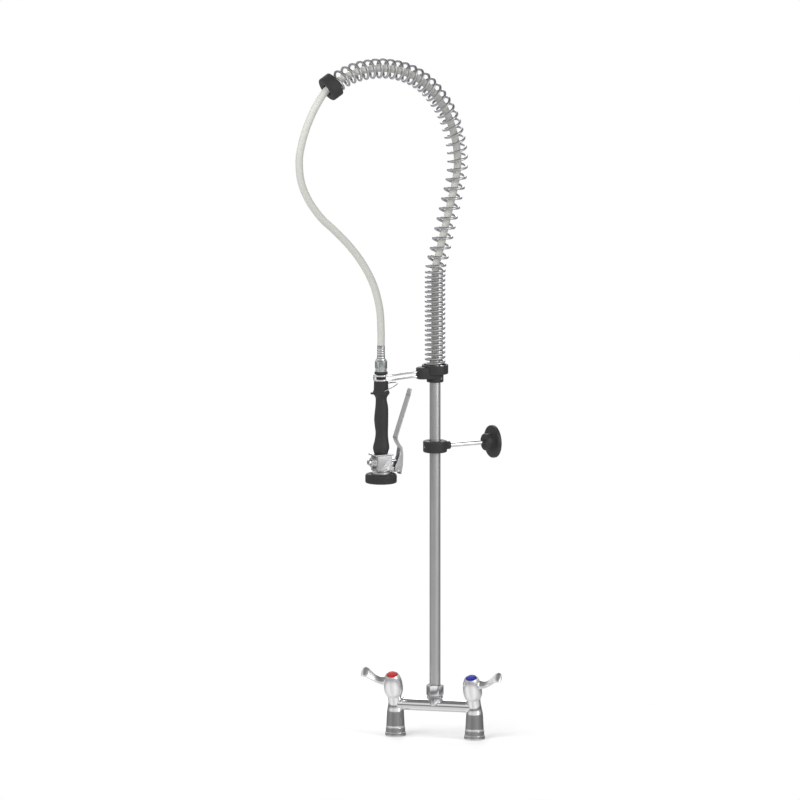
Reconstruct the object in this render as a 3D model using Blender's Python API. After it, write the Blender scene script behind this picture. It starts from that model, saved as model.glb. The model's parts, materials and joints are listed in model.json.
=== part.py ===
"""Twin-pillar deck-mounted pre-rinse faucet: bridge tap, riser, wall stay, guide spring, hose and gun.

Frame: origin midway between the pillars on the deck, +Z up, +X to the cold pillar, -Y to the user.
"""

import math

import bmesh
import bpy
from mathutils import Matrix, Vector

MM = 0.001
GAP = 0.3  # clearance between pieces that touch
SEG = 16

# Driving dimensions, millimetres and degrees
PILLAR_CENTRES = 150
HEAD_LEAN, PADDLE_TILT = 23, 50
FLANGE_D, FLANGE_H, SLEEVE_D, SLEEVE_TOP = 38, 6.5, 35.4, 15.5
BODY_D, BODY_TOP_D, BODY_TOP, BODY_FOOT_D = 34, 31, 45, 31.4
NECK_D, NECK_END, KNEE_Z = 24.6, 31, 58
CHAMBER_D, CHAMBER_FROM, INLET_D = 18.6, 10, 16
HUB_D, HUB_FROM, HUB_TO, DISC_D = 34.5, 21, 64, 19.5
SPINDLE_D, SPINDLE_TOP, SCREW_D = 8, 45, 4
BRIDGE_D, BRIDGE_BORE, BRIDGE_Z, SOCKET_REACH, SOCKET_D = 22, 17, 59, 14.5, 25.4
BOSS_D, BOSS_TOP, SEAL_Z = 29, 77, 66
NUT_FLATS, NUT_TOP = 27.5, 98
RISER_D, RISER_BORE, RISER_FOOT, RISER_TOP = 20, 16, 69, 700
STAY_AZIMUTH = 43
CLAMP_D, CLAMP_H, CLAMP_Z, SPIGOT_D, SPIGOT_REACH = 44, 21, 540, 14.5, 30.5
ROD_D, WALL_REACH, WALL_FLANGE_D, WALL_FLANGE_H, WALL_HUB_D, WALL_HUB_H = 8, 123, 60, 7, 32, 14
RING_D, RING_BOTTOM, RING_TOP = 31, 659.5, 674
CARRIER_D, SEAT_Z, CUP_TOP, LOBE_D, LOBE_REACH, BUSH_T = 48.4, 686, 691.5, 24, 26, 1.7
HOOK_D, HOOK_Z, HOOK_SPACING, HOOK_RADIUS = 4, 676, 8.3, 12.5
GUN_REACH = 112
SPRING_D, WIRE_D, TIGHT_PITCH, ARCH_PITCH, TIGHT_TOP = 38, 4, 8.9, 16.6, 863
HOSE_D, CAP_D, CAP_L = 13.6, 47, 20
CORE_D, SPOOL_D, NECK_RING_D, GRIP_TOP, GRIP_BOTTOM = 13, 17.8, 24.6, 669.5, 535
BUMPER_D, BUMPER_BOTTOM, BUMPER_TOP, PLATE_D = 58, 481, 498, 50
PLUNGER_D, PLUNGER_Z, PIVOT_Z, PIVOT_REACH, LEVER_W, LEVER_T = 6, 520, 504, 31, 14, 3.2

# The arch and the free hose lie in the upright plane through the riser and the gun: (out, up) points.
ARCH = [(0, 704), (0, 780), (0, 850), (2, 877), (7.3, 893.5), (16.2, 927.5), (25.3, 962.3), (34.5, 997),
        (43, 1030), (46.7, 1063), (43.8, 1096), (35.5, 1128), (23.7, 1157), (5.4, 1184.5), (-16.2, 1208.6),
        (-42.8, 1227.7), (-72, 1240), (-105, 1247), (-137, 1247.5), (-168, 1243), (-192.5, 1234),
        (-211, 1223)]
HOSE = [(-217, 1219.3), (-224.5, 1214.4), (-236.5, 1201), (-252, 1177), (-266, 1148), (-276, 1118),
        (-281, 1088), (-277, 1049), (-261, 1013), (-236, 980), (-212, 958), (-184, 931), (-160, 903),
        (-140, 873), (-124.5, 840), (-114.5, 800), (-112, 760), (-112, 735.6)]

OUT = Vector((math.cos(math.radians(STAY_AZIMUTH)), math.sin(math.radians(STAY_AZIMUTH)), 0))
ACROSS = Vector((-OUT.y, OUT.x, 0))
UP = Vector((0, 0, 1))
LEAN = Vector((0, -math.sin(math.radians(HEAD_LEAN)), math.cos(math.radians(HEAD_LEAN))))
GUN = OUT * -GUN_REACH

for old in list(bpy.data.objects):
    bpy.data.objects.remove(old)


def material(name, colour, roughness, metallic):
    made = bpy.data.materials.new(name)
    made.use_nodes = True
    shader = made.node_tree.nodes["Principled BSDF"]
    shader.inputs["Base Color"].default_value = (*colour, 1)
    shader.inputs["Roughness"].default_value = roughness
    shader.inputs["Metallic"].default_value = metallic
    return made


CHROME = ("chrome", (0.78, 0.79, 0.80), 0.12, 1.0)
STEEL = ("steel", (0.55, 0.56, 0.57), 0.3, 1.0)
BRASS = ("brass", (0.70, 0.55, 0.30), 0.3, 1.0)
BLACK = ("black_plastic", (0.03, 0.03, 0.032), 0.5, 0.0)
RUBBER = ("rubber", (0.025, 0.025, 0.025), 0.75, 0.0)
HOSE_SKIN = ("hose_skin", (0.46, 0.46, 0.43), 0.4, 0.0)
RED = ("red_index", (0.60, 0.02, 0.01), 0.3, 0.0)
BLUE = ("blue_index", (0.01, 0.02, 0.55), 0.3, 0.0)


def finish(obj, finish_of):
    """Gives a piece its own material, scales millimetres to metres and shades it."""
    obj.data.materials.append(material(f"{obj.name}_{finish_of[0]}", *finish_of[1:]))
    if obj.type == "MESH":
        obj.data.shade_smooth()
        obj.data.set_sharp_from_angle(angle=math.radians(35))
    return obj


def object_of(name, bm, finish_of, origin=None):
    """Makes an object of a mesh in millimetres, with its own origin on the given point."""
    bmesh.ops.recalc_face_normals(bm, faces=bm.faces)
    shift = Vector(origin) if origin is not None else Vector()
    bmesh.ops.translate(bm, vec=-shift, verts=bm.verts)
    bmesh.ops.scale(bm, vec=(MM, MM, MM), verts=bm.verts)
    mesh = bpy.data.meshes.new(name)
    bm.to_mesh(mesh)
    bm.free()
    obj = bpy.data.objects.new(name, mesh)
    obj.location = shift * MM
    bpy.context.collection.objects.link(obj)
    if finish_of:
        return finish(obj, finish_of)
    obj.hide_render = True
    obj.display_type = "WIRE"
    return obj


def turn_to(direction):
    return Vector(direction).to_track_quat("Z", "Y").to_matrix().to_4x4()


def lathe_mesh(profile, base=(0, 0, 0), direction=UP, segments=SEG):
    """Turns a closed (radius, height) outline about an axis; radius 0 closes it on the axis."""
    bm = bmesh.new()
    rings = []
    for radius, height in profile:
        if radius == 0:
            rings.append([bm.verts.new((0, 0, height))])
            continue
        rings.append([bm.verts.new((radius * math.cos(k * math.tau / segments),
                                    radius * math.sin(k * math.tau / segments), height))
                      for k in range(segments)])
    closed = profile[0][0] != 0
    pairs = list(zip(rings, rings[1:] + ([rings[0]] if closed else [])))
    for low, high in pairs[: None if closed else len(rings) - 1]:
        for k in range(segments):
            j = (k + 1) % segments
            if len(low) == 1:
                bm.faces.new((low[0], high[j], high[k]))
            elif len(high) == 1:
                bm.faces.new((low[k], low[j], high[0]))
            else:
                bm.faces.new((low[k], low[j], high[j], high[k]))
    bmesh.ops.transform(bm, matrix=Matrix.Translation(base) @ turn_to(direction), verts=bm.verts)
    return bm


def lathe(name, profile, finish_of, base=(0, 0, 0), direction=UP, segments=SEG, origin=None):
    return object_of(name, lathe_mesh(profile, base, direction, segments), finish_of, origin or base)


def rod_profile(radius, low, high, chamfer=0.0):
    if not chamfer:
        return [(0, low), (radius, low), (radius, high), (0, high)]
    return [(0, low), (radius - chamfer, low), (radius, low + chamfer), (radius, high - chamfer),
            (radius - chamfer, high), (0, high)]


def tube_profile(outer, inner, low, high, chamfer=0.0):
    if not chamfer:
        return [(outer, low), (outer, high), (inner, high), (inner, low)]
    return [(outer - chamfer, low), (outer, low + chamfer), (outer, high - chamfer),
            (outer - chamfer, high), (inner, high), (inner, low)]


def change(obj, other, operation="DIFFERENCE"):
    """Cuts, joins or keeps a helper with a piece, at once, and removes the helper.

    The manifold solver is used because the exact one leaves gaps where two round bores cross.
    """
    modifier = obj.modifiers.new(other.name, "BOOLEAN")
    modifier.solver = "MANIFOLD"
    modifier.operation = operation
    modifier.object = other
    bpy.context.view_layer.update()
    result = bpy.data.meshes.new_from_object(obj.evaluated_get(bpy.context.evaluated_depsgraph_get()))
    obj.modifiers.remove(modifier)
    obj.data = result
    bpy.data.objects.remove(other)


def helper(bm):
    return object_of("helper", bm, None)


def cylinder_mesh(radius, start, end, segments=SEG):
    start, end = Vector(start), Vector(end)
    return lathe_mesh(rod_profile(radius, 0, (end - start).length), start, end - start, segments)


def box_mesh(size, centre, axes=(Vector((1, 0, 0)), Vector((0, 1, 0)), UP), bevel=0.0):
    bm = bmesh.new()
    bmesh.ops.create_cube(bm, size=1)
    bmesh.ops.scale(bm, vec=size, verts=bm.verts)
    if bevel:
        bmesh.ops.bevel(bm, geom=bm.edges[:], offset=bevel, segments=2, affect="EDGES")
    turn = Matrix((axes[0], axes[1], axes[2])).transposed().to_4x4()
    bmesh.ops.transform(bm, matrix=Matrix.Translation(centre) @ turn, verts=bm.verts)
    return bm


def loft_mesh(rings):
    """Closes a row of equal-sized point rings into one body."""
    bm = bmesh.new()
    made = [[bm.verts.new(point) for point in ring] for ring in rings]
    for low, high in zip(made, made[1:]):
        for k in range(len(low)):
            j = (k + 1) % len(low)
            bm.faces.new((low[k], low[j], high[j], high[k]))
    bm.faces.new(made[0])
    bm.faces.new(made[-1])
    return bm


def smooth_path(points, count):
    """A Catmull-Rom curve through the points, read at equal steps of length."""
    points = [Vector(p) for p in points]
    row = [2 * points[0] - points[1], *points, 2 * points[-1] - points[-2]]
    fine = []
    for a, b, c, d in zip(row, row[1:], row[2:], row[3:]):
        for step in range(16):
            t = step / 16
            fine.append(0.5 * (2 * b + (c - a) * t + (2 * a - 5 * b + 4 * c - d) * t * t
                               + (3 * b - a - 3 * c + d) * t ** 3))
    fine.append(points[-1])
    along = [0.0]
    for a, b in zip(fine, fine[1:]):
        along.append(along[-1] + (b - a).length)
    out, k = [], 0
    for n in range(count):
        at = along[-1] * n / (count - 1)
        while k < len(fine) - 2 and along[k + 1] < at:
            k += 1
        share = (at - along[k]) / (along[k + 1] - along[k])
        out.append(fine[k].lerp(fine[k + 1], min(share, 1)))
    return out, along[-1]


def wire(name, points, diameter, finish_of, sides=2, origin=(0, 0, 0)):
    """A round wire or tube through the points, in millimetres."""
    curve = bpy.data.curves.new(name, "CURVE")
    curve.dimensions = "3D"
    curve.bevel_depth = diameter / 2 * MM
    curve.bevel_resolution = sides
    curve.use_fill_caps = True
    spline = curve.splines.new("POLY")
    spline.points.add(len(points) - 1)
    for target, point in zip(spline.points, points):
        target.co = (*((Vector(point) - Vector(origin)) * MM), 1)
    obj = bpy.data.objects.new(name, curve)
    obj.location = Vector(origin) * MM
    bpy.context.collection.objects.link(obj)
    return finish(obj, finish_of)


def in_plane(out, up):
    return OUT * out + UP * up


def head_point(side, along):
    """A point on a pillar's leaning head axis, at a length along it from the knee."""
    return Vector((side * PILLAR_CENTRES / 2, 0, KNEE_Z)) + LEAN * along


def leaning_ring(x, y, z, lean, radius):
    """A ring of points tilted towards the user by the lean angle."""
    slope = Vector((0, math.cos(lean), math.sin(lean)))
    return [Vector((x, y, z)) + radius * (Vector((1, 0, 0)) * math.cos(k * math.tau / SEG)
            + slope * math.sin(k * math.tau / SEG)) for k in range(SEG)]


def pillar(side, name, index_finish):
    """One pillar with its flange, valve, lever and index disc."""
    x = side * PILLAR_CENTRES / 2
    foot = (x, 0, 0)
    sleeve_bore = BODY_FOOT_D / 2 + GAP
    seal_d = FLANGE_D - 7
    flange = [(FLANGE_D / 2 - 0.8, 0), (FLANGE_D / 2, 0.8), (FLANGE_D / 2, FLANGE_H - 1.2),
              (FLANGE_D / 2 - 0.8, FLANGE_H), (SLEEVE_D / 2, FLANGE_H), (SLEEVE_D / 2, SLEEVE_TOP),
              (sleeve_bore, SLEEVE_TOP), (sleeve_bore, 2.4), (seal_d / 2 + 1.2, 2.4), (seal_d / 2 + 1.2, 0)]
    lathe(f"{name}_base_flange", flange, CHROME, foot)
    lathe(f"{name}_base_seal", tube_profile(seal_d / 2 + 0.9, INLET_D / 2 + 1, 0, 2.1), RUBBER, foot)

    lean = math.radians(HEAD_LEAN)
    rings = [leaning_ring(x, 0, 2.5, 0, BODY_FOOT_D / 2),
             leaning_ring(x, 0, SLEEVE_TOP + GAP, 0, BODY_FOOT_D / 2),
             leaning_ring(x, 0, SLEEVE_TOP + GAP, 0, BODY_D / 2),
             leaning_ring(x, 0, BODY_TOP, 0, BODY_TOP_D / 2)]
    knee = Vector((0, 0, BODY_TOP))
    knee_end = head_point(0, 8)
    steps = 6
    for step in range(1, steps + 1):
        t = step / steps
        middle = Vector((0, 0, KNEE_Z - 1))
        at = knee * (1 - t) ** 2 + middle * (2 * t * (1 - t)) + knee_end * t * t
        radius = BODY_TOP_D / 2 + (NECK_D - BODY_TOP_D) / 2 * math.sin(t * math.pi / 2) ** 1.3
        rings.append(leaning_ring(x, at.y, at.z, lean * t, radius))
    end = head_point(0, NECK_END)
    rings.append(leaning_ring(x, end.y, end.z, lean, NECK_D / 2))
    body = object_of(f"{name}_pillar_body", loft_mesh(rings), CHROME, foot)
    inner = Vector((x - side * SOCKET_REACH, 0, BRIDGE_Z))
    axis = Vector((x, 0, BRIDGE_Z))
    change(body, helper(cylinder_mesh(SOCKET_D / 2, inner, axis)), "UNION")
    change(body, helper(cylinder_mesh(BRIDGE_D / 2 + GAP, inner - Vector((side, 0, 0)),
                                      inner + Vector((side * 5.8, 0, 0)))))
    change(body, helper(cylinder_mesh(INLET_D / 2 - 1.5, inner, axis)))
    change(body, helper(cylinder_mesh(INLET_D / 2, (x, 0, 0), (x, 0, KNEE_Z - 4))))
    change(body, helper(cylinder_mesh(INLET_D / 2 - 1, head_point(side, -7), head_point(side, 12))))
    change(body, helper(cylinder_mesh(CHAMBER_D / 2, head_point(side, CHAMBER_FROM),
                                      head_point(side, NECK_END + 1))))

    base = head_point(side, 0)
    bore = SPINDLE_D / 2 + GAP
    shell = CHAMBER_D / 2 - GAP
    low = CHAMBER_FROM + GAP
    lathe(f"{name}_cartridge", [(0, low), (shell, low), (shell, 27), (shell - 2, 27), (shell - 2, NECK_END),
                                (bore, NECK_END), (bore, 16), (0, 16)], BRASS, base, LEAN)
    screw_hole = SCREW_D / 2 + GAP
    lathe(f"{name}_spindle", [(0, 16 + GAP), (SPINDLE_D / 2, 16 + GAP), (SPINDLE_D / 2, SPINDLE_TOP),
                              (screw_hole, SPINDLE_TOP), (screw_hole, 38), (0, 38)], BRASS, base, LEAN)
    skirt = NECK_D / 2 + 2 * GAP
    seat = HUB_TO - 2.6
    hub = [(skirt + 1, HUB_FROM), (15.2, 24), (16.7, 29), (HUB_D / 2, 37), (16.8, 46), (15.4, 54),
           (13.2, 60.5), (DISC_D / 2 + 1.6, HUB_TO), (DISC_D / 2 + GAP, HUB_TO), (DISC_D / 2 + GAP, seat),
           (6, seat), (6, 52), (screw_hole, 52), (screw_hole, SPINDLE_TOP + GAP),
           (bore, SPINDLE_TOP + GAP), (bore, 34), (skirt, 34), (skirt, HUB_FROM)]
    lever = lathe(f"{name}_lever", hub, CHROME, base, LEAN)
    tilt = math.radians(PADDLE_TILT)
    across = Vector((0, math.cos(tilt), math.sin(tilt)))
    route = [(13.4, 50, 19, 8), (20, 50, 16.4, 6.4), (27, 51.4, 14.4, 5.2), (34, 55, 14.4, 4.6),
             (41, 61, 17, 4.2), (46, 65.4, 19.6, 3.8), (51, 67.4, 20.6, 3.6), (55, 66.4, 18, 3.4),
             (57, 65, 12.5, 2.2)]
    outward = Vector((side, 0, 0))
    centres = [head_point(side, up) + outward * out for out, up, _, _ in route]
    sections = []
    for k, (centre, (_, _, width, thick)) in enumerate(zip(centres, route)):
        run = (centres[min(k + 1, len(route) - 1)] - centres[max(k - 1, 0)]).normalized()
        flat = run.cross(across)
        sections.append([centre + across * (width / 2 * math.cos(a)) + flat * (thick / 2 * math.sin(a))
                         for a in (n * math.tau / 12 for n in range(12))])
    change(lever, helper(loft_mesh(sections)), "UNION")
    finish(lever, CHROME)
    lathe(f"{name}_lever_screw", [(0, 39), (SCREW_D / 2, 39), (SCREW_D / 2, 52 + GAP), (5.4, 52 + GAP),
                                  (5.4, 55.2), (0, 55.2)], STEEL, base, LEAN)
    lathe(f"{name}_index", [(0, seat + GAP), (DISC_D / 2, seat + GAP), (DISC_D / 2, HUB_TO + 0.2),
                            (DISC_D / 2 - 1.4, HUB_TO + 1), (0, HUB_TO + 1.5)], index_finish, base, LEAN)


def bridge():
    """The mixing tube with its tee, and the union that holds the riser."""
    reach = PILLAR_CENTRES / 2 - SOCKET_REACH + 5.5
    tube = object_of("bridge_tube", cylinder_mesh(BRIDGE_D / 2, (-reach, 0, BRIDGE_Z), (reach, 0, BRIDGE_Z)),
                     CHROME)
    boss = helper(cylinder_mesh(BOSS_D / 2, UP * (BRIDGE_Z - 2), UP * BOSS_TOP, 24))
    saddle = [(-3, BRIDGE_Z + 1), (3, BRIDGE_Z + 1), (BOSS_D / 2 + 1, 75.6), (BOSS_D / 2 + 1, BOSS_TOP + 1),
              (-BOSS_D / 2 - 1, BOSS_TOP + 1), (-BOSS_D / 2 - 1, 75.6)]
    change(boss, helper(loft_mesh([[Vector((x, y, z)) for x, z in saddle] for y in (-20, 20)])), "INTERSECT")
    change(tube, boss, "UNION")
    change(tube, helper(cylinder_mesh(BRIDGE_BORE / 2, (-reach - 1, 0, BRIDGE_Z), (reach + 1, 0, BRIDGE_Z))))
    change(tube, helper(cylinder_mesh(RISER_BORE / 2 - 1, (0, 0, BRIDGE_Z + 0.7), (0, 0, SEAL_Z + 1))))
    change(tube, helper(cylinder_mesh(RISER_D / 2 + GAP, (0, 0, SEAL_Z), (0, 0, BOSS_TOP + 1))))
    finish(tube, CHROME)
    lathe("riser_seal", tube_profile(RISER_D / 2, RISER_BORE / 2, SEAL_Z + GAP, RISER_FOOT - GAP), RUBBER)
    corner = NUT_FLATS / 2 / math.cos(math.pi / 6)
    nut = lathe_mesh(tube_profile(corner, RISER_D / 2 + GAP, BOSS_TOP + GAP, NUT_TOP), segments=24)
    nut = object_of("riser_nut", nut, CHROME)
    hexagon = lathe_mesh(rod_profile(corner, 0, 200), segments=6)
    bmesh.ops.rotate(hexagon, matrix=Matrix.Rotation(math.radians(10), 3, "Z"), verts=hexagon.verts)
    change(nut, helper(hexagon), "INTERSECT")
    finish(nut, CHROME)
    lathe("riser_pipe", tube_profile(RISER_D / 2, RISER_BORE / 2, RISER_FOOT, RISER_TOP), STEEL)


def wall_stay():
    """The clamp on the riser, its rod and the wall flange."""
    at = UP * CLAMP_Z
    clamp = lathe("wall_clamp", tube_profile(CLAMP_D / 2, RISER_D / 2 + GAP, -CLAMP_H / 2, CLAMP_H / 2, 2.5),
                  BLACK, at)
    spigot = [(0, 13.5), (10, 13.5), (10, 18), (SPIGOT_D / 2, 24), (SPIGOT_D / 2, SPIGOT_REACH),
              (0, SPIGOT_REACH)]
    change(clamp, helper(lathe_mesh(spigot, at, OUT, 20)), "UNION")
    rod_from = SPIGOT_REACH - 8
    change(clamp, helper(cylinder_mesh(ROD_D / 2 + GAP, at + OUT * rod_from, at + OUT * (SPIGOT_REACH + 1))))
    pipe = RISER_D / 2 + GAP
    change(clamp, helper(cylinder_mesh(2.3, at - OUT * (pipe - 1), at - OUT * (CLAMP_D / 2 + 1), 12)))
    finish(clamp, BLACK)
    lathe("clamp_screw", rod_profile(2, pipe, CLAMP_D / 2 + 0.5, 0.4), CHROME, at, -OUT, 12)
    wall = WALL_REACH
    hub_end = wall - WALL_FLANGE_H - WALL_HUB_H
    rod_to = wall - WALL_FLANGE_H - 2
    rod = cylinder_mesh(ROD_D / 2, at + OUT * (rod_from + GAP), at + OUT * rod_to, 16)
    object_of("wall_rod", rod, CHROME, at)
    bore = ROD_D / 2 + GAP
    plate = WALL_FLANGE_D / 2 - 3
    face = wall - WALL_FLANGE_H
    rose = [(bore, hub_end), (WALL_HUB_D / 2 - 2, hub_end), (WALL_HUB_D / 2, hub_end + 2),
            (WALL_HUB_D / 2, face), (WALL_FLANGE_D / 2 - 2.5, face), (WALL_FLANGE_D / 2, face + 2.5),
            (WALL_FLANGE_D / 2, wall), (plate + GAP, wall), (plate + GAP, wall - 3), (bore, wall - 3)]
    flange = lathe("wall_flange", rose, BLACK, at, OUT, 24)
    grub = at + OUT * (hub_end + 6)
    change(flange, helper(cylinder_mesh(2.3, grub - UP * (WALL_HUB_D / 2 + 1), grub - UP * 2, 12)))
    finish(flange, BLACK)
    lathe("flange_set_screw", rod_profile(2, -WALL_HUB_D / 2 + 2, -bore), STEEL, grub, UP, 12)
    lathe("wall_plate", tube_profile(plate, 6, wall - 3 + GAP, wall), STEEL, at, OUT)


def head():
    """The stop ring, the swivelling carrier with its hook, and the spring's seat."""
    pipe = RISER_D / 2 + GAP
    ring = lathe("stop_ring", [(RING_D / 2 - 2, RING_BOTTOM), (RING_D / 2, RING_BOTTOM + 2),
                               (RING_D / 2, RING_TOP), (pipe, RING_TOP), (pipe, RING_BOTTOM)], BLACK)
    turn = math.radians(-25)
    towards = Vector((math.cos(turn), math.sin(turn), 0))
    screw = UP * 667
    change(ring, helper(cylinder_mesh(2.6, screw, screw + towards * (RING_D / 2 + 2), 12)))
    finish(ring, BLACK)
    lathe("stop_screw", rod_profile(2.3, pipe, RING_D / 2 + 0.6, 0.5), CHROME, screw, towards, 12)
    low = RING_TOP + 1
    bore = pipe + BUSH_T + GAP
    carrier = [(CARRIER_D / 2 - 1.5, low), (CARRIER_D / 2, low + 1.5), (CARRIER_D / 2, CUP_TOP - 1.5),
               (CARRIER_D / 2 - 1.2, CUP_TOP), (SPRING_D / 2 + 1.3, CUP_TOP), (SPRING_D / 2 + 1.3, SEAT_Z),
               (bore, SEAT_Z), (bore, low)]
    carrier = lathe("head_carrier", carrier, BLACK)
    arm = []
    for radius, reach, first in ((LOBE_D / 2, LOBE_REACH, 105), (18, 6, -75)):
        for a in (math.radians(first + 150 * k / 8) for k in range(9)):
            arm.append(OUT * (radius * math.cos(a) - reach) + ACROSS * (radius * math.sin(a)))
    lobe = loft_mesh([[point + UP * z for point in arm] for z in (667, 688.5)])
    change(carrier, helper(lobe), "UNION")
    change(carrier, helper(cylinder_mesh(RING_D / 2 + 1, UP * 660, UP * low)))
    change(carrier, helper(cylinder_mesh(SPRING_D / 2 + 1.3, UP * SEAT_Z, UP * 700)))
    change(carrier, helper(cylinder_mesh(bore, UP * 660, UP * 700)))
    tip = LOBE_REACH + LOBE_D / 2
    for z in (HOOK_Z + HOOK_SPACING / 2, HOOK_Z - HOOK_SPACING / 2):
        hole = cylinder_mesh(HOOK_D / 2 + GAP, in_plane(-tip + 7, z), in_plane(-tip - 2, z), 12)
        change(carrier, helper(hole))
    finish(carrier, BLACK)
    lathe("head_bush", tube_profile(pipe + BUSH_T, pipe, low, SEAT_Z), BRASS)
    lathe("spring_seat", tube_profile(SPRING_D / 2 + 1, pipe, SEAT_Z + GAP, SEAT_Z + 2.5), STEEL)
    lathe("hose_nipple", [(RISER_BORE / 2 - GAP, 688), (RISER_BORE / 2 - GAP, RISER_TOP + GAP),
                          (RISER_D / 2 - 1, RISER_TOP + GAP), (RISER_D / 2 - 1, RISER_TOP + 3.3),
                          (4, RISER_TOP + 3.3), (4, 688)], BRASS)

    route = []
    for z, back in ((HOOK_Z + HOOK_SPACING / 2, False), (HOOK_Z - HOOK_SPACING / 2, True)):
        leg = [in_plane(-tip + 6, z), in_plane(-tip - 6, z), in_plane(-58, z) - ACROSS * 2,
               in_plane(-76, z) - ACROSS * 6, in_plane(-92, z) - ACROSS * 10.5]
        for k in range(9):
            a = math.radians(-70 - k * 16)
            leg.append(GUN + UP * z + HOOK_RADIUS * (OUT * math.cos(a) + ACROSS * math.sin(a)))
        route += reversed(leg) if back else leg
    points, _ = smooth_path(route, 44)
    wire("gun_hook", points, HOOK_D, CHROME, 1)


def spring_and_hoses():
    """The guide spring round the inner hose, its cap, and the free hose to the gun."""
    path, length = smooth_path([in_plane(*p) for p in ARCH], 400)
    foot_z, turn_points = SEAT_Z + 2.5 + GAP + WIRE_D / 2, []
    at, angle, per_turn = foot_z - ARCH[0][1], 0.0, 6
    while at < length - 2:
        share = max(at, 0) / length * (len(path) - 1)
        k = min(int(share), len(path) - 2)
        centre = path[k].lerp(path[k + 1], share - k) + UP * min(at, 0)
        run = (path[min(k + 3, len(path) - 1)] - path[max(k - 3, 0)]).normalized()
        side = run.cross(ACROSS)
        radius = (SPRING_D - WIRE_D) / 2
        turn_points.append(centre + radius * (ACROSS * math.cos(angle) + side * math.sin(angle)))
        loose = min(max((at + ARCH[0][1] - TIGHT_TOP) / 30, 0), 1)
        at += (TIGHT_PITCH + (ARCH_PITCH - TIGHT_PITCH) * loose) / per_turn
        angle += math.tau / per_turn
    wire("guide_spring", turn_points, WIRE_D, CHROME, 0)
    points, _ = smooth_path([in_plane(*p) for p in ARCH], 34)
    run = (points[-1] - points[-2]).normalized()
    wire("inner_hose", [*points[:-1], points[-1] + run * 5], HOSE_D, HOSE_SKIN)
    skin = SPRING_D / 2 + 1.5
    near = points[-1] - run * 5
    far = CAP_L + 1
    lathe("spring_cap", [(CAP_D / 2 - 3, 0), (CAP_D / 2, 3), (CAP_D / 2, far - 4), (CAP_D / 2 - 4, far),
                         (HOSE_D / 2 + 2.4, far), (HOSE_D / 2 + 2.4, 12), (skin, 12), (skin, 0)],
          RUBBER, near, run)
    points, _ = smooth_path([in_plane(*p) for p in HOSE], 26)
    wire("free_hose", points, HOSE_D, HOSE_SKIN)


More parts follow.
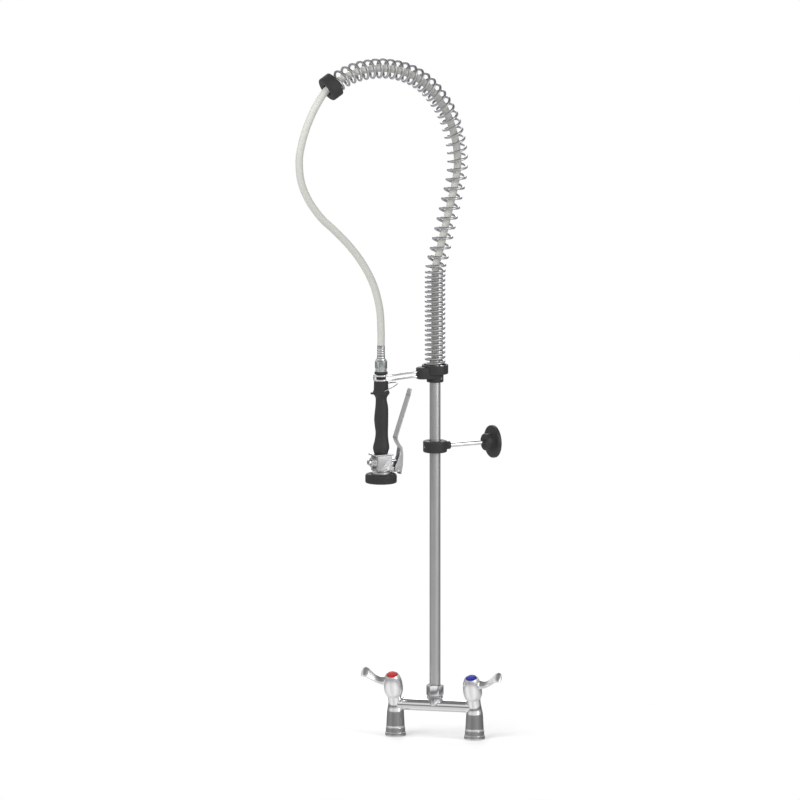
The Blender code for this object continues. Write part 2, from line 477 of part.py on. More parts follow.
def gun():
    """The spray gun, hanging in the hook."""
    bore = CORE_D / 2 + GAP
    ring_top = HOOK_Z + HOOK_SPACING / 2 + HOOK_D / 2 + GAP + 4
    spool_top = ring_top - 4 - GAP
    nut_low, nut_top = ring_top + GAP, ring_top + 25
    hose_end = HOSE[-1][1]
    lathe("hose_ferrule", [(5, nut_top + GAP), (7.6, nut_top + GAP), (7.6, nut_top + 2),
                           (6.2, nut_top + 3), (6.2, hose_end - GAP), (5, hose_end - GAP)], CHROME, GUN)
    nut = [(bore + 2, nut_low), (10.4, nut_low), (10.4, nut_low + 5), (11.3, nut_low + 6),
           (11.3, nut_top - 4), (8.6, nut_top), (5, nut_top), (5, nut_low + 9), (bore + 2, nut_low + 9)]
    lathe("swivel_nut", nut, CHROME, GUN)
    lathe("swivel_washer", tube_profile(bore + 1.7, 5, nut_low + 6.5, nut_low + 8.7), RUBBER, GUN)
    core_low = PLUNGER_Z + 8
    lathe("gun_core", tube_profile(CORE_D / 2, 4.5, core_low, nut_low + 6), BRASS, GUN)
    lathe("neck_ring_upper", tube_profile(NECK_RING_D / 2, bore, ring_top - 4, ring_top, 0.8), BLACK, GUN)
    lathe("neck_ring_lower", tube_profile(SPOOL_D / 2, bore, GRIP_TOP + GAP, spool_top), BLACK, GUN)

    outline = [(13, GRIP_TOP), (13.4, 660), (14, 652), (15.6, 649), (15.6, 646), (12.6, 642), (10.6, 636),
               (11.4, 623), (13, 601), (12.9, 594), (11.7, 579), (12.6, 562), (15.2, 548), (15, 543),
               (12.8, GRIP_BOTTOM + GAP)]
    grip = [(r, z) for r, z in reversed(outline)] + [(bore, GRIP_TOP), (bore, GRIP_BOTTOM + GAP)]
    grip = lathe("grip", grip, BLACK, GUN)
    lug = box_mesh((8, 7, 3.5), in_plane(-GUN_REACH - 16.4, 647.5), (OUT, ACROSS, UP), 0.8)
    change(grip, helper(lug), "UNION")
    ring_z, wire_r = 653, 1.1
    for side in (-1, 1):
        hole = cylinder_mesh(wire_r + GAP, GUN + UP * ring_z + ACROSS * side * 11,
                             GUN + UP * ring_z + ACROSS * side * 17, 10)
        change(grip, helper(hole))
    finish(grip, BLACK)
    loop = [(0, 12, 0), (0, 15.5, 0), (3, 17, 1.4), (12, 17, 5), (22, 14.5, 8.5), (29, 8, 10.5),
            (31.5, 0, 11.2)]
    loop += [(a, -b, c) for a, b, c in reversed(loop[:-1])]
    points = [in_plane(-GUN_REACH + a, ring_z + c) + ACROSS * b for a, b, c in loop]
    points, _ = smooth_path(points, 34)
    wire("lock_ring", points, 2 * wire_r, CHROME, 0, in_plane(-GUN_REACH, ring_z))

    body_top, block_low, neck_low = GRIP_BOTTOM, 503, BUMPER_TOP - 3
    centre = in_plane(-GUN_REACH + 1, (body_top - 3 + block_low) / 2)
    axes = (OUT, ACROSS, UP)
    body = object_of("valve_body", box_mesh((30, 27, body_top - 3 - block_low), centre, axes, 1.2), CHROME)
    plate = box_mesh((37, 30, 3), in_plane(-GUN_REACH, body_top - 1.7), axes, 0.6)
    spout_r = 17
    change(body, helper(plate), "UNION")
    change(body, helper(cylinder_mesh(spout_r, in_plane(-GUN_REACH, neck_low - 2),
                                      in_plane(-GUN_REACH, block_low + 6), 24)), "UNION")
    skirt_low = BUMPER_BOTTOM + 5
    change(body, helper(cylinder_mesh(PLATE_D / 2, in_plane(-GUN_REACH, skirt_low),
                                      in_plane(-GUN_REACH, neck_low - 0.5), 24)), "UNION")
    pivot = in_plane(-GUN_REACH + PIVOT_REACH, PIVOT_Z)
    ear = box_mesh((22, 8, 10), pivot + OUT * -7, axes, 1)
    change(body, helper(ear), "UNION")
    chamber = in_plane(-GUN_REACH - 20, PLUNGER_Z)
    change(body, helper(cylinder_mesh(7, chamber, in_plane(-GUN_REACH + 6, PLUNGER_Z))))
    front = in_plane(-GUN_REACH + 25, PLUNGER_Z)
    change(body, helper(cylinder_mesh(PLUNGER_D / 2 + GAP, chamber, front)))
    change(body, helper(cylinder_mesh(bore, in_plane(-GUN_REACH, core_low - GAP),
                                      in_plane(-GUN_REACH, body_top + 5))))
    change(body, helper(cylinder_mesh(5, in_plane(-GUN_REACH, 490), in_plane(-GUN_REACH, core_low + 2), 16)))
    change(body, helper(cylinder_mesh(PLATE_D / 2 - 5, in_plane(-GUN_REACH, skirt_low - 1),
                                      in_plane(-GUN_REACH, 490.5))))
    change(body, helper(cylinder_mesh(2.3, pivot - ACROSS * 8, pivot + ACROSS * 8, 12)))
    finish(body, CHROME)

    base = in_plane(-GUN_REACH, PLUNGER_Z)
    lathe("plunger", [(0, 1), (PLUNGER_D / 2, 1), (PLUNGER_D / 2, 36), (PLUNGER_D / 2 - 0.8, 37), (0, 37)],
          STEEL, base, OUT)
    lathe("plunger_seal", rod_profile(5.6, -2, 1 - GAP), RUBBER, base, OUT)
    coil, steps = [], 9
    for k in range(4 * steps + 1):
        a = k * math.tau / steps
        coil.append(base + OUT * (-3 - 8 * k / (4 * steps)) + 4.4 * (UP * math.cos(a) + ACROSS * math.sin(a)))
    wire("valve_spring", coil, 1, STEEL, 0, base)
    lathe("rear_plug", [(0, -27), (4.2, -27), (5, -26), (5, -21.5), (8, -21), (8, -14.4), (6.7, -14.4),
                        (6.7, -12), (0, -12)], CHROME, base, OUT)

    route = [(60.8, 654.3), (56.6, 641), (28.9, 562.4), (32.5, 553.5), (39.6, 543), (41.3, 534), (41.2, 526),
             (39.8, 510), (38, 500)]
    centres = [in_plane(-GUN_REACH + out, up) for out, up in route]
    sections = []
    for k, centre in enumerate(centres):
        run = (centres[min(k + 1, len(route) - 1)] - centres[max(k - 1, 0)]).normalized()
        flat = run.cross(ACROSS)
        half_w, half_t = LEVER_W / 2, LEVER_T / 2
        corners = [(1, 0.5), (0.9, 1), (-0.9, 1), (-1, 0.5), (-1, -0.5), (-0.9, -1), (0.9, -1), (1, -0.5)]
        sections.append([centre + ACROSS * (half_w * a) + flat * (half_t * b) for a, b in corners])
    lever = object_of("squeeze_lever", loft_mesh(sections), CHROME, pivot)
    for side in (-1, 1):
        cheek = box_mesh((14.5, 2.4, 13), pivot + OUT * 3.2 + ACROSS * side * 5.7, axes)
        change(lever, helper(cheek), "UNION")
    change(lever, helper(cylinder_mesh(2.3, pivot - ACROSS * 8, pivot + ACROSS * 8, 12)))
    finish(lever, CHROME)
    lathe("lever_pin", rod_profile(2, -7.6, 7.6, 0.4), STEEL, pivot, ACROSS, 12)

    face = BUMPER_BOTTOM + 2.2
    plate = lathe("spray_plate", rod_profile(PLATE_D / 2, face, skirt_low - GAP), STEEL, GUN, UP, 24)
    jets = ((4, 4), (10, 8))
    for radius, count in jets:
        for k in range(count):
            a = k * math.tau / count
            at = GUN + radius * (OUT * math.cos(a) + ACROSS * math.sin(a))
            change(plate, helper(cylinder_mesh(1, at + UP * (face - 1), at + UP * (skirt_low + 1), 6)))
    finish(plate, STEEL)
    outer, lip, groove = BUMPER_D / 2, PLATE_D / 2 - 3, PLATE_D / 2 + GAP
    bumper = [(lip, BUMPER_BOTTOM), (outer - 4.5, BUMPER_BOTTOM), (outer - 1.2, BUMPER_BOTTOM + 2),
              (outer, BUMPER_BOTTOM + 5.5), (outer, BUMPER_TOP - 5.5), (outer - 1.2, BUMPER_TOP - 2),
              (outer - 4.5, BUMPER_TOP), (spout_r + GAP, BUMPER_TOP), (spout_r + GAP, neck_low),
              (groove, neck_low), (groove, face - GAP), (lip, face - GAP)]
    lathe("bumper", bumper, RUBBER, GUN, UP, 24)


pillar(-1, "hot", RED)
pillar(1, "cold", BLUE)
bridge()
wall_stay()
head()
spring_and_hoses()
gun()
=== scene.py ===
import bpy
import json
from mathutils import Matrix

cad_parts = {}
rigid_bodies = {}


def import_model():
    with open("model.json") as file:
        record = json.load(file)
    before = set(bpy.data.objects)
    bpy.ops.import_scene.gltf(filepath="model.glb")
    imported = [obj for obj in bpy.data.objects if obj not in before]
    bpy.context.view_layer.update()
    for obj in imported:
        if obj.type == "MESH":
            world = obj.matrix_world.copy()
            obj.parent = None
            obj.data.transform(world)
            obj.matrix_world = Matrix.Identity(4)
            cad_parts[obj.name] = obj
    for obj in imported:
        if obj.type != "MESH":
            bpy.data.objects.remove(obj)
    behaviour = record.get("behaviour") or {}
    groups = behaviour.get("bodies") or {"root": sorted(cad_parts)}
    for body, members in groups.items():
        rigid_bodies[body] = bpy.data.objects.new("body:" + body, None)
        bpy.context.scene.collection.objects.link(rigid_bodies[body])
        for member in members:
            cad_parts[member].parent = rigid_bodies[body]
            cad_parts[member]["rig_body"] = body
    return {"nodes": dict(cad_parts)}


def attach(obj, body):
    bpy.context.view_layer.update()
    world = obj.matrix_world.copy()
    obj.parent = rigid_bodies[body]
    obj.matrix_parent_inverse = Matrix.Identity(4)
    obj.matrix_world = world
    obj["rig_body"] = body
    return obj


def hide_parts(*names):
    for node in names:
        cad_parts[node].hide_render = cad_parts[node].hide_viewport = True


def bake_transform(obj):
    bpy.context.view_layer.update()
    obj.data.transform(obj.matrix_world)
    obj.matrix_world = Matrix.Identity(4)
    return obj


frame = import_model()
"""Looks of a twin-pillar pre-rinse faucet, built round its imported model.

Sizes are millimetres and each finished mesh is in metres. The arch, the hose and the gun lie in one
upright plane through the riser, whose horizontal direction is OUT.
"""
import json
import logging
import math
from collections.abc import Callable, Sequence
from dataclasses import dataclass, field
from enum import Enum

import bmesh
import bpy
from mathutils import Matrix, Vector

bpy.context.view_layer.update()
LOG = logging.getLogger("faucet")
MM = 0.001
GAP = 0.3
FINE = 64
SMOOTH_ANGLE = math.radians(32)
Outline = list[tuple[float, float]]

STAY_AZIMUTH = math.radians(43)
OUT = Vector((math.cos(STAY_AZIMUTH), math.sin(STAY_AZIMUTH), 0))
ACROSS = Vector((-OUT.y, OUT.x, 0))
UP = Vector((0, 0, 1))
SIDEWAYS = Vector((1, 0, 0))
HEAD_LEAN = math.radians(23)
PADDLE_TILT = math.radians(50)
LEAN = Vector((0, -math.sin(HEAD_LEAN), math.cos(HEAD_LEAN)))
GUN_REACH = 112.0
GUN = OUT * -GUN_REACH

ARCH = [(0, 704), (0, 780), (0, 850), (2, 877), (7.3, 893.5), (16.2, 927.5), (25.3, 962.3),
        (34.5, 997), (43, 1030), (46.7, 1063), (43.8, 1096), (35.5, 1128), (23.7, 1157),
        (5.4, 1184.5), (-16.2, 1208.6), (-42.8, 1227.7), (-72, 1240), (-105, 1247),
        (-137, 1247.5), (-168, 1243), (-192.5, 1234), (-211, 1223)]
HOSE = [(-217, 1219.3), (-224.5, 1214.4), (-236.5, 1201), (-252, 1177), (-266, 1148),
        (-276, 1118), (-281, 1088), (-277, 1049), (-261, 1013), (-236, 980), (-212, 958),
        (-184, 931), (-160, 903), (-140, 873), (-124.5, 840), (-114.5, 800), (-112, 760),
        (-112, 735.6)]


class Side(Enum):
    """Which pillar a piece belongs to; the value is its direction along X."""

    HOT = -1
    COLD = 1


class Body(Enum):
    """The moving bodies that a piece can ride on."""

    ROOT = "root"
    HOT_HANDLE = "hot_handle"
    COLD_HANDLE = "cold_handle"
    STAY = "stay"
    ROSE = "wall_rose"
    HEAD = "head"
    HOSE_END = "hose_end"
    GUN = "gun"
    TRIGGER = "trigger"
    PLUNGER = "plunger"
    LOCK = "lock"


# ---------------------------------------------------------------- shader groups


def new_group(name: str, inputs: Sequence[tuple[str, float]],
              outputs: Sequence[tuple[str, str]]) -> bpy.types.ShaderNodeTree:
    """Starts a shader node group.

    Args:
        name: The group's name.
        inputs: Pairs of a float input's name and its default.
        outputs: Pairs of an output's name and its socket type.

    Returns:
        The tree, with its input and output nodes named "in" and "out".
    """
    tree = bpy.data.node_groups.new(name, "ShaderNodeTree")
    for label, value in inputs:
        socket = tree.interface.new_socket(label, in_out="INPUT", socket_type="NodeSocketFloat")
        socket.default_value = value
    for label, kind in outputs:
        tree.interface.new_socket(label, in_out="OUTPUT", socket_type=kind)
    tree.nodes.new("NodeGroupInput").name = "in"
    tree.nodes.new("NodeGroupOutput").name = "out"
    return tree


def math_node(tree: bpy.types.NodeTree, operation: str, first: object,
              second: object) -> bpy.types.NodeSocket:
    """Adds a Math node whose operands are sockets or numbers.

    Args:
        tree: The tree that the node goes in.
        operation: The Math node's operation.
        first: A socket or a number.
        second: A socket or a number.

    Returns:
        The node's output socket.
    """
    node = tree.nodes.new("ShaderNodeMath")
    node.operation = operation
    for socket, value in zip(node.inputs, (first, second)):
        if isinstance(value, (int, float)):
            socket.default_value = value
        else:
            tree.links.new(value, socket)
    return node.outputs[0]


def grain_group() -> bpy.types.ShaderNodeTree:
    """A fine grain with broad, soft patches: a height for bump and a 0 to 1 mask for roughness.

    Returns:
        The group, with inputs Scale and Stretch and outputs Height and Mask.
    """
    tree = new_group("surface_grain", (("Scale", 900.0), ("Stretch", 1.0)),
                     (("Height", "NodeSocketFloat"), ("Mask", "NodeSocketFloat")))
    nodes, links = tree.nodes, tree.links
    coords = nodes.new("ShaderNodeTexCoord")
    stretch = nodes.new("ShaderNodeCombineXYZ")
    stretch.inputs["X"].default_value = 1
    stretch.inputs["Y"].default_value = 1
    links.new(nodes["in"].outputs["Stretch"], stretch.inputs["Z"])
    scaled = nodes.new("ShaderNodeVectorMath")
    scaled.operation = "MULTIPLY"
    links.new(coords.outputs["Object"], scaled.inputs[0])
    links.new(stretch.outputs[0], scaled.inputs[1])
    fine = nodes.new("ShaderNodeTexNoise")
    fine.inputs["Detail"].default_value = 3
    links.new(scaled.outputs[0], fine.inputs["Vector"])
    links.new(nodes["in"].outputs["Scale"], fine.inputs["Scale"])
    broad = nodes.new("ShaderNodeTexNoise")
    broad.inputs["Scale"].default_value = 38
    broad.inputs["Detail"].default_value = 4
    links.new(coords.outputs["Object"], broad.inputs["Vector"])
    links.new(fine.outputs[0], nodes["out"].inputs["Height"])
    both = math_node(tree, "MULTIPLY", fine.outputs[0], broad.outputs[0])
    links.new(math_node(tree, "MULTIPLY", both, 2.6), nodes["out"].inputs["Mask"])
    return tree


def wear_group() -> bpy.types.ShaderNodeTree:
    """A mask of handled edges, broken up by noise.

    Returns:
        The group, with inputs Amount and Breakup and the output Mask.
    """
    tree = new_group("edge_wear", (("Amount", 0.5), ("Breakup", 160.0)),
                     (("Mask", "NodeSocketFloat"),))
    nodes, links = tree.nodes, tree.links
    edge = nodes.new("ShaderNodeNewGeometry")
    ramp = nodes.new("ShaderNodeMapRange")
    ramp.inputs["From Min"].default_value = 0.52
    ramp.inputs["From Max"].default_value = 0.64
    links.new(edge.outputs["Pointiness"], ramp.inputs["Value"])
    coords = nodes.new("ShaderNodeTexCoord")
    noise = nodes.new("ShaderNodeTexNoise")
    links.new(coords.outputs["Object"], noise.inputs["Vector"])
    links.new(nodes["in"].outputs["Breakup"], noise.inputs["Scale"])
    broken = math_node(tree, "MULTIPLY", ramp.outputs[0], noise.outputs[0])
    links.new(math_node(tree, "MULTIPLY", broken, nodes["in"].outputs["Amount"]),
              nodes["out"].inputs["Mask"])
    return tree


def braid_group() -> bpy.types.ShaderNodeTree:
    """Crossed diagonal plaits on a tube whose UV runs round it and along it.

    Returns:
        The group, with inputs Round and Along and the outputs Height and Mask.
    """
    tree = new_group("braid", (("Round", 14.0), ("Along", 1.0)),
                     (("Height", "NodeSocketFloat"), ("Mask", "NodeSocketFloat")))
    nodes, links = tree.nodes, tree.links
    uv = nodes.new("ShaderNodeUVMap")
    uv.uv_map = "skin"
    split = nodes.new("ShaderNodeSeparateXYZ")
    links.new(uv.outputs[0], split.inputs[0])
    turn = math_node(tree, "MULTIPLY", split.outputs["X"], nodes["in"].outputs["Round"])
    run = math_node(tree, "MULTIPLY", split.outputs["Y"], nodes["in"].outputs["Along"])
    waves = []
    for operation in ("ADD", "SUBTRACT"):
        phase = math_node(tree, "MULTIPLY", math_node(tree, operation, turn, run), math.tau)
        wave = math_node(tree, "SINE", phase, 0.0)
        waves.append(math_node(tree, "ABSOLUTE", wave, 0.0))
    height = math_node(tree, "MULTIPLY", waves[0], waves[1])
    links.new(height, nodes["out"].inputs["Height"])
    links.new(math_node(tree, "MINIMUM", waves[0], waves[1]), nodes["out"].inputs["Mask"])
    return tree


# ---------------------------------------------------------------- finishes


@dataclass(frozen=True)
class Finish:
    """A surface finish of the faucet, with its colours, gloss and fine detail."""

    name: str
    colour: tuple[float, float, float]
    roughness: float
    metallic: float
    second: tuple[float, float, float] = (0.5, 0.5, 0.5)
    rough_spread: float = 0.1
    bump: float = 0.05
    grain: float = 900.0
    stretch: float = 1.0
    wear: float = 0.0
    coat: float = 0.0
    braided: bool = False

    def material(self) -> bpy.types.Material:
        """Returns this finish's material, made once."""
        made = bpy.data.materials.get(self.name)
        return made or self._build()

    def _build(self) -> bpy.types.Material:
        """Builds the node tree.

        Returns:
            The new material.
        """
        made = bpy.data.materials.new(self.name)
        made.use_nodes = True
        tree = made.node_tree
        nodes, links = tree.nodes, tree.links
        shader = nodes["Principled BSDF"]
        shader.inputs["Metallic"].default_value = self.metallic
        shader.inputs["Coat Weight"].default_value = self.coat
        shader.inputs["Coat Roughness"].default_value = 0.08
        grain = nodes.new("ShaderNodeGroup")
        grain.node_tree = GROUPS["grain"]
        grain.inputs["Scale"].default_value = self.grain
        grain.inputs["Stretch"].default_value = self.stretch
        wear = nodes.new("ShaderNodeGroup")
        wear.node_tree = GROUPS["wear"]
        wear.inputs["Amount"].default_value = self.wear
        height, mask = grain.outputs["Height"], grain.outputs["Mask"]
        blend = nodes.new("ShaderNodeMix")
        blend.data_type = "RGBA"
        blend.inputs["A"].default_value = (*self.colour, 1)
        blend.inputs["B"].default_value = (*self.second, 1)
        if self.braided:
            braid = nodes.new("ShaderNodeGroup")
            braid.node_tree = GROUPS["braid"]
            height = braid.outputs["Height"]
            links.new(braid.outputs["Mask"], blend.inputs["Factor"])
        else:
            links.new(wear.outputs["Mask"], blend.inputs["Factor"])
        links.new(blend.outputs["Result"], shader.inputs["Base Color"])
        spread = math_node(tree, "MULTIPLY", mask, self.rough_spread)
        links.new(math_node(tree, "ADD", spread, self.roughness), shader.inputs["Roughness"])
        relief = nodes.new("ShaderNodeBump")
        relief.inputs["Strength"].default_value = self.bump
        relief.inputs["Distance"].default_value = 0.0004
        links.new(height, relief.inputs["Height"])
        links.new(relief.outputs[0], shader.inputs["Normal"])
        return made


GROUPS = {"grain": grain_group(), "wear": wear_group(), "braid": braid_group()}
CHROME = Finish("polished_chrome", (0.78, 0.78, 0.79), 0.12, 1.0, (0.62, 0.61, 0.60), 0.05, 0.015,
                500, wear=0.3)
# Painted sheen: the levers' chrome is rougher than CHROME, which is real, and lighter (0.86 against
# 0.78), which stands in for the bright reflections on them.
PADDLE = Finish("paddle_chrome_painted_sheen", (0.86, 0.86, 0.87), 0.27, 1.0, (0.78, 0.78, 0.79), 0.06, 0.01, 500,
                wear=0.2)
RISER = Finish("satin_riser", (0.60, 0.60, 0.60), 0.36, 1.0, (0.54, 0.54, 0.54), 0.06, 0.02, 700,
               0.02, 0.2)
NUT_PLATE = Finish("nickel_nut", (0.60, 0.64, 0.62), 0.2, 1.0, (0.5, 0.52, 0.5), 0.1, 0.04, 800,
                   wear=0.4)
CAST = Finish("satin_casting", (0.56, 0.56, 0.57), 0.36, 1.0, (0.64, 0.64, 0.64), 0.1, 0.05, 1200,
              wear=0.5)
SPRING_WIRE = Finish("spring_wire", (0.50, 0.50, 0.52), 0.26, 1.0, (0.4, 0.4, 0.42), 0.08, 0.03,
                     600, wear=0.3)
STEEL = Finish("brushed_steel", (0.55, 0.56, 0.57), 0.28, 1.0, (0.4, 0.4, 0.4), 0.12, 0.08, 900,
               0.05, 0.3)
BRASS = Finish("machined_brass", (0.66, 0.50, 0.26), 0.25, 1.0, (0.5, 0.36, 0.18), 0.1, 0.05, 900,
               wear=0.3)
BLACK = Finish("black_moulding", (0.019, 0.019, 0.020), 0.42, 0.0, (0.038, 0.038, 0.038), 0.16,
               0.22, 1500, wear=0.6)
GRIP_BLACK = Finish("grip_moulding", (0.019, 0.019, 0.020), 0.5, 0.0, (0.036, 0.036, 0.036), 0.16,
                    0.35, 1100,
                    wear=0.5)
RUBBER = Finish("black_rubber", (0.017, 0.017, 0.018), 0.55, 0.0, (0.036, 0.036, 0.036), 0.15, 0.3,
                1300, wear=0.5)
HOSE_SKIN = Finish("hose_skin", (0.21, 0.21, 0.2), 0.36, 0.0, (0.17, 0.17, 0.165), 0.1, 0.12, 900,
                   coat=0.5,
                   braided=True)
RED = Finish("red_index", (0.38, 0.004, 0.002), 0.5, 0.0, (0.28, 0.006, 0.003), 0.1, 0.03, 900,
             wear=0.2)
BLUE = Finish("blue_index", (0.002, 0.004, 0.26), 0.5, 0.0, (0.002, 0.004, 0.2), 0.1, 0.03, 900,
              wear=0.2)
SEAL_RUBBER = Finish("seal_rubber", (0.04, 0.04, 0.04), 0.6, 0.0, (0.07, 0.07, 0.07), 0.1, 0.1, 900)


# ---------------------------------------------------------------- mesh making


def in_plane(out: float, up: float) -> Vector:
    """Returns a point of the upright plane through the riser and the gun."""
    return OUT * out + UP * up


def turned_to(direction: Vector) -> Matrix:
    """Returns the turn that carries +Z to a direction."""
    return Vector(direction).to_track_quat("Z", "Y").to_matrix().to_4x4()


def rounded(outline: Outline, radius: float, steps: int = 4) -> Outline:
    """Rounds the corners of an outline.

    Args:
        outline: Points of (radius, height), open where it starts and ends on the axis.
        radius: The largest rounding; a short side gets a smaller one.
        steps: Segments in each rounding.

    Returns:
        The outline with an arc in place of each corner.
    """
    points = [Vector(p) for p in outline]
    open_ended = points[0].x == 0
    made: Outline = []
    for k, corner in enumerate(points):
        if open_ended and k in (0, len(points) - 1):
            made.append(tuple(corner))
            continue
        before, after = points[k - 1] - corner, points[(k + 1) % len(points)] - corner
        reach = min(radius, before.length * 0.45, after.length * 0.45)
        first, last = corner + before.normalized() * reach, corner + after.normalized() * reach
        for step in range(steps + 1):
            t = step / steps
            made.append(tuple(first * (1 - t) ** 2 + corner * (2 * t * (1 - t)) + last * t * t))
    return made


def lathe_mesh(outline: Outline, base: Vector = Vector(), direction: Vector = UP,
               segments: int = FINE) -> bmesh.types.BMesh:
    """Turns an outline about an axis.

    Args:
        outline: Points of (radius, height); a radius of 0 closes it on the axis.
        base: The point of the axis at height 0.
        direction: The axis.
        segments: Sides of each round.

    Returns:
        The closed mesh, in millimetres.
    """
    bm = bmesh.new()
    rings = []
    for radius, height in outline:
        count = segments if radius else 1
        rings.append([bm.verts.new((radius * math.cos(k * math.tau / count),
                                    radius * math.sin(k * math.tau / count),
                                    height)) for k in range(count)])
    pairs = list(zip(rings, rings[1:]))
    if outline[0][0]:
        pairs.append((rings[-1], rings[0]))
    for low, high in pairs:
        for k in range(segments):
            j = (k + 1) % segments
            corners = [low[k % len(low)], low[j % len(low)], high[j % len(high)],
                       high[k % len(high)]]
            bm.faces.new(list(dict.fromkeys(corners)))
    bmesh.ops.transform(bm, matrix=Matrix.Translation(base) @ turned_to(direction), verts=bm.verts)
    bmesh.ops.recalc_face_normals(bm, faces=bm.faces)
    return bm


def rod(radius: float, low: float, high: float, edge: float = 0.0) -> Outline:
    """Returns a solid cylinder's outline with rounded ends."""
    outline = [(0.0, low), (radius, low), (radius, high), (0.0, high)]
    return rounded(outline, edge) if edge else outline


def tube(outer: float, inner: float, low: float, high: float, edge: float = 0.0) -> Outline:
    """Returns a tube's outline with rounded edges."""
    outline = [(outer, low), (outer, high), (inner, high), (inner, low)]
    return rounded(outline, edge) if edge else outline


def rod_mesh(radius: float, start: Vector, end: Vector, edge: float = 0.0,
             segments: int = FINE) -> bmesh.types.BMesh:
    """Returns a solid cylinder between two points."""
    return lathe_mesh(rod(radius, 0, (end - start).length, edge), start, end - start, segments)


def box_mesh(size: Sequence[float], centre: Vector, bevel: float = 0.0,
             axes: Sequence[Vector] = (OUT, ACROSS, UP)) -> bmesh.types.BMesh:
    """Makes a box with rounded edges.

    Args:
        size: Its three sides.
        centre: Its middle.
        bevel: The rounding of its edges.
        axes: The directions of its sides.

    Returns:
        The mesh, in millimetres.
    """
    bm = bmesh.new()
    bmesh.ops.create_cube(bm, size=1)
    bmesh.ops.scale(bm, vec=size, verts=bm.verts)
    if bevel:
        bmesh.ops.bevel(bm, geom=bm.edges[:], offset=bevel, segments=4, affect="EDGES", profile=0.5)
    turn = Matrix(axes).transposed().to_4x4()
    bmesh.ops.transform(bm, matrix=Matrix.Translation(centre) @ turn, verts=bm.verts)
    return bm


def loft_mesh(rings: Sequence[Sequence[Vector]]) -> bmesh.types.BMesh:
    """Closes a row of equal-sized point rings into one skin with domed-over ends.

    Args:
        rings: The rings, in order.

    Returns:
        The mesh, in millimetres.
    """
    bm = bmesh.new()
    made = [[bm.verts.new(point) for point in ring] for ring in rings]
    for low, high in zip(made, made[1:]):
        for k in range(len(low)):
            j = (k + 1) % len(low)
            bm.faces.new((low[k], low[j], high[j], high[k]))
    for ring in (made[0], made[-1]):
        middle = bm.verts.new(sum((v.co for v in ring), Vector()) / len(ring))
        for k, vert in enumerate(ring):
            bm.faces.new((vert, ring[(k + 1) % len(ring)], middle))
    bmesh.ops.recalc_face_normals(bm, faces=bm.faces)
    return bm


def smooth_path(points: Sequence[Vector], count: int) -> list[Vector]:
    """Reads a Catmull-Rom curve through the points at equal steps of length.

    Args:
        points: The points that the curve passes through, of any one dimension.
        count: How many points to read.

    Returns:
        The points read, the first and last of them the curve's ends.
    """
    points = [Vector(p) for p in points]
    row = [2 * points[0] - points[1], *points, 2 * points[-1] - points[-2]]
    fine = []
    for a, b, c, d in zip(row, row[1:], row[2:], row[3:]):
        for t in (step / 16 for step in range(16)):
            fine.append(0.5 * (2 * b + (c - a) * t + (2 * a - 5 * b + 4 * c - d) * t * t
                               + (3 * b - a - 3 * c + d) * t ** 3))
    fine.append(points[-1])
    along = [0.0]
    for a, b in zip(fine, fine[1:]):
        along.append(along[-1] + (b - a).length)
    out, k = [], 0
    for n in range(count):
        at = along[-1] * n / (count - 1)
        while k < len(fine) - 2 and along[k + 1] < at:
            k += 1
        out.append(fine[k].lerp(fine[k + 1], min((at - along[k]) / (along[k + 1] - along[k]), 1)))
    return out


def tube_along(points: Sequence[Vector], radius: float, sides: int = 24) -> bmesh.types.BMesh:
    """Sweeps a round section along a path, with a UV map "skin" in turns round and diameters along.

    Args:
        points: The centreline.
        radius: The section's radius.
        sides: Sides of the section.

    Returns:
        The closed mesh, in millimetres.
    """
    bm = bmesh.new()
    layer = bm.loops.layers.uv.new("skin")
    normal = (points[1] - points[0]).orthogonal().normalized()
    rings, runs, travelled = [], [], 0.0
    for k, at in enumerate(points):
        run = (points[min(k + 1, len(points) - 1)] - points[max(k - 1, 0)]).normalized()
        normal = (normal - run * normal.dot(run)).normalized()
        other = run.cross(normal)
        rings.append([bm.verts.new(at + radius * (normal * math.cos(a) + other * math.sin(a)))
                      for a in (n * math.tau / sides for n in range(sides))])
        travelled += (at - points[k - 1]).length if k else 0
        runs.append(travelled / (2 * radius))
    for n, (low, high) in enumerate(zip(rings, rings[1:])):
        for k in range(sides):
            j = (k + 1) % sides
            face = bm.faces.new((low[k], low[j], high[j], high[k]))
            values = ((k / sides, runs[n]), ((k + 1) / sides, runs[n]),
                      ((k + 1) / sides, runs[n + 1]), (k / sides, runs[n + 1]))
            for loop, value in zip(face.loops, values):
                loop[layer].uv = value
    bm.faces.new(reversed(rings[0]))
    bm.faces.new(rings[-1])
    bmesh.ops.recalc_face_normals(bm, faces=bm.faces)
    return bm


def object_of(name: str, bm: bmesh.types.BMesh) -> bpy.types.Object:
    """Makes an object of a mesh that is in millimetres.

    Args:
        name: The object's name.
        bm: Its mesh, which is freed.

    Returns:
        The new object, at the origin with its place in its mesh.
    """
    bmesh.ops.scale(bm, vec=(MM, MM, MM), verts=bm.verts)
    mesh = bpy.data.meshes.new(name)
    bm.to_mesh(mesh)
    bm.free()
    obj = bpy.data.objects.new(name, mesh)
    bpy.context.scene.collection.objects.link(obj)
    return obj


def plain(obj: bpy.types.Object) -> bpy.types.Object:
    """Turns an object with modifiers into the plain mesh that they give.

    Args:
        obj: The object.

    Returns:
        The same object, with no modifiers left.
    """
    bpy.context.view_layer.update()
    graph = bpy.context.evaluated_depsgraph_get()
    result = bpy.data.meshes.new_from_object(obj.evaluated_get(graph))
    obj.modifiers.clear()
    obj.data = result
    return obj


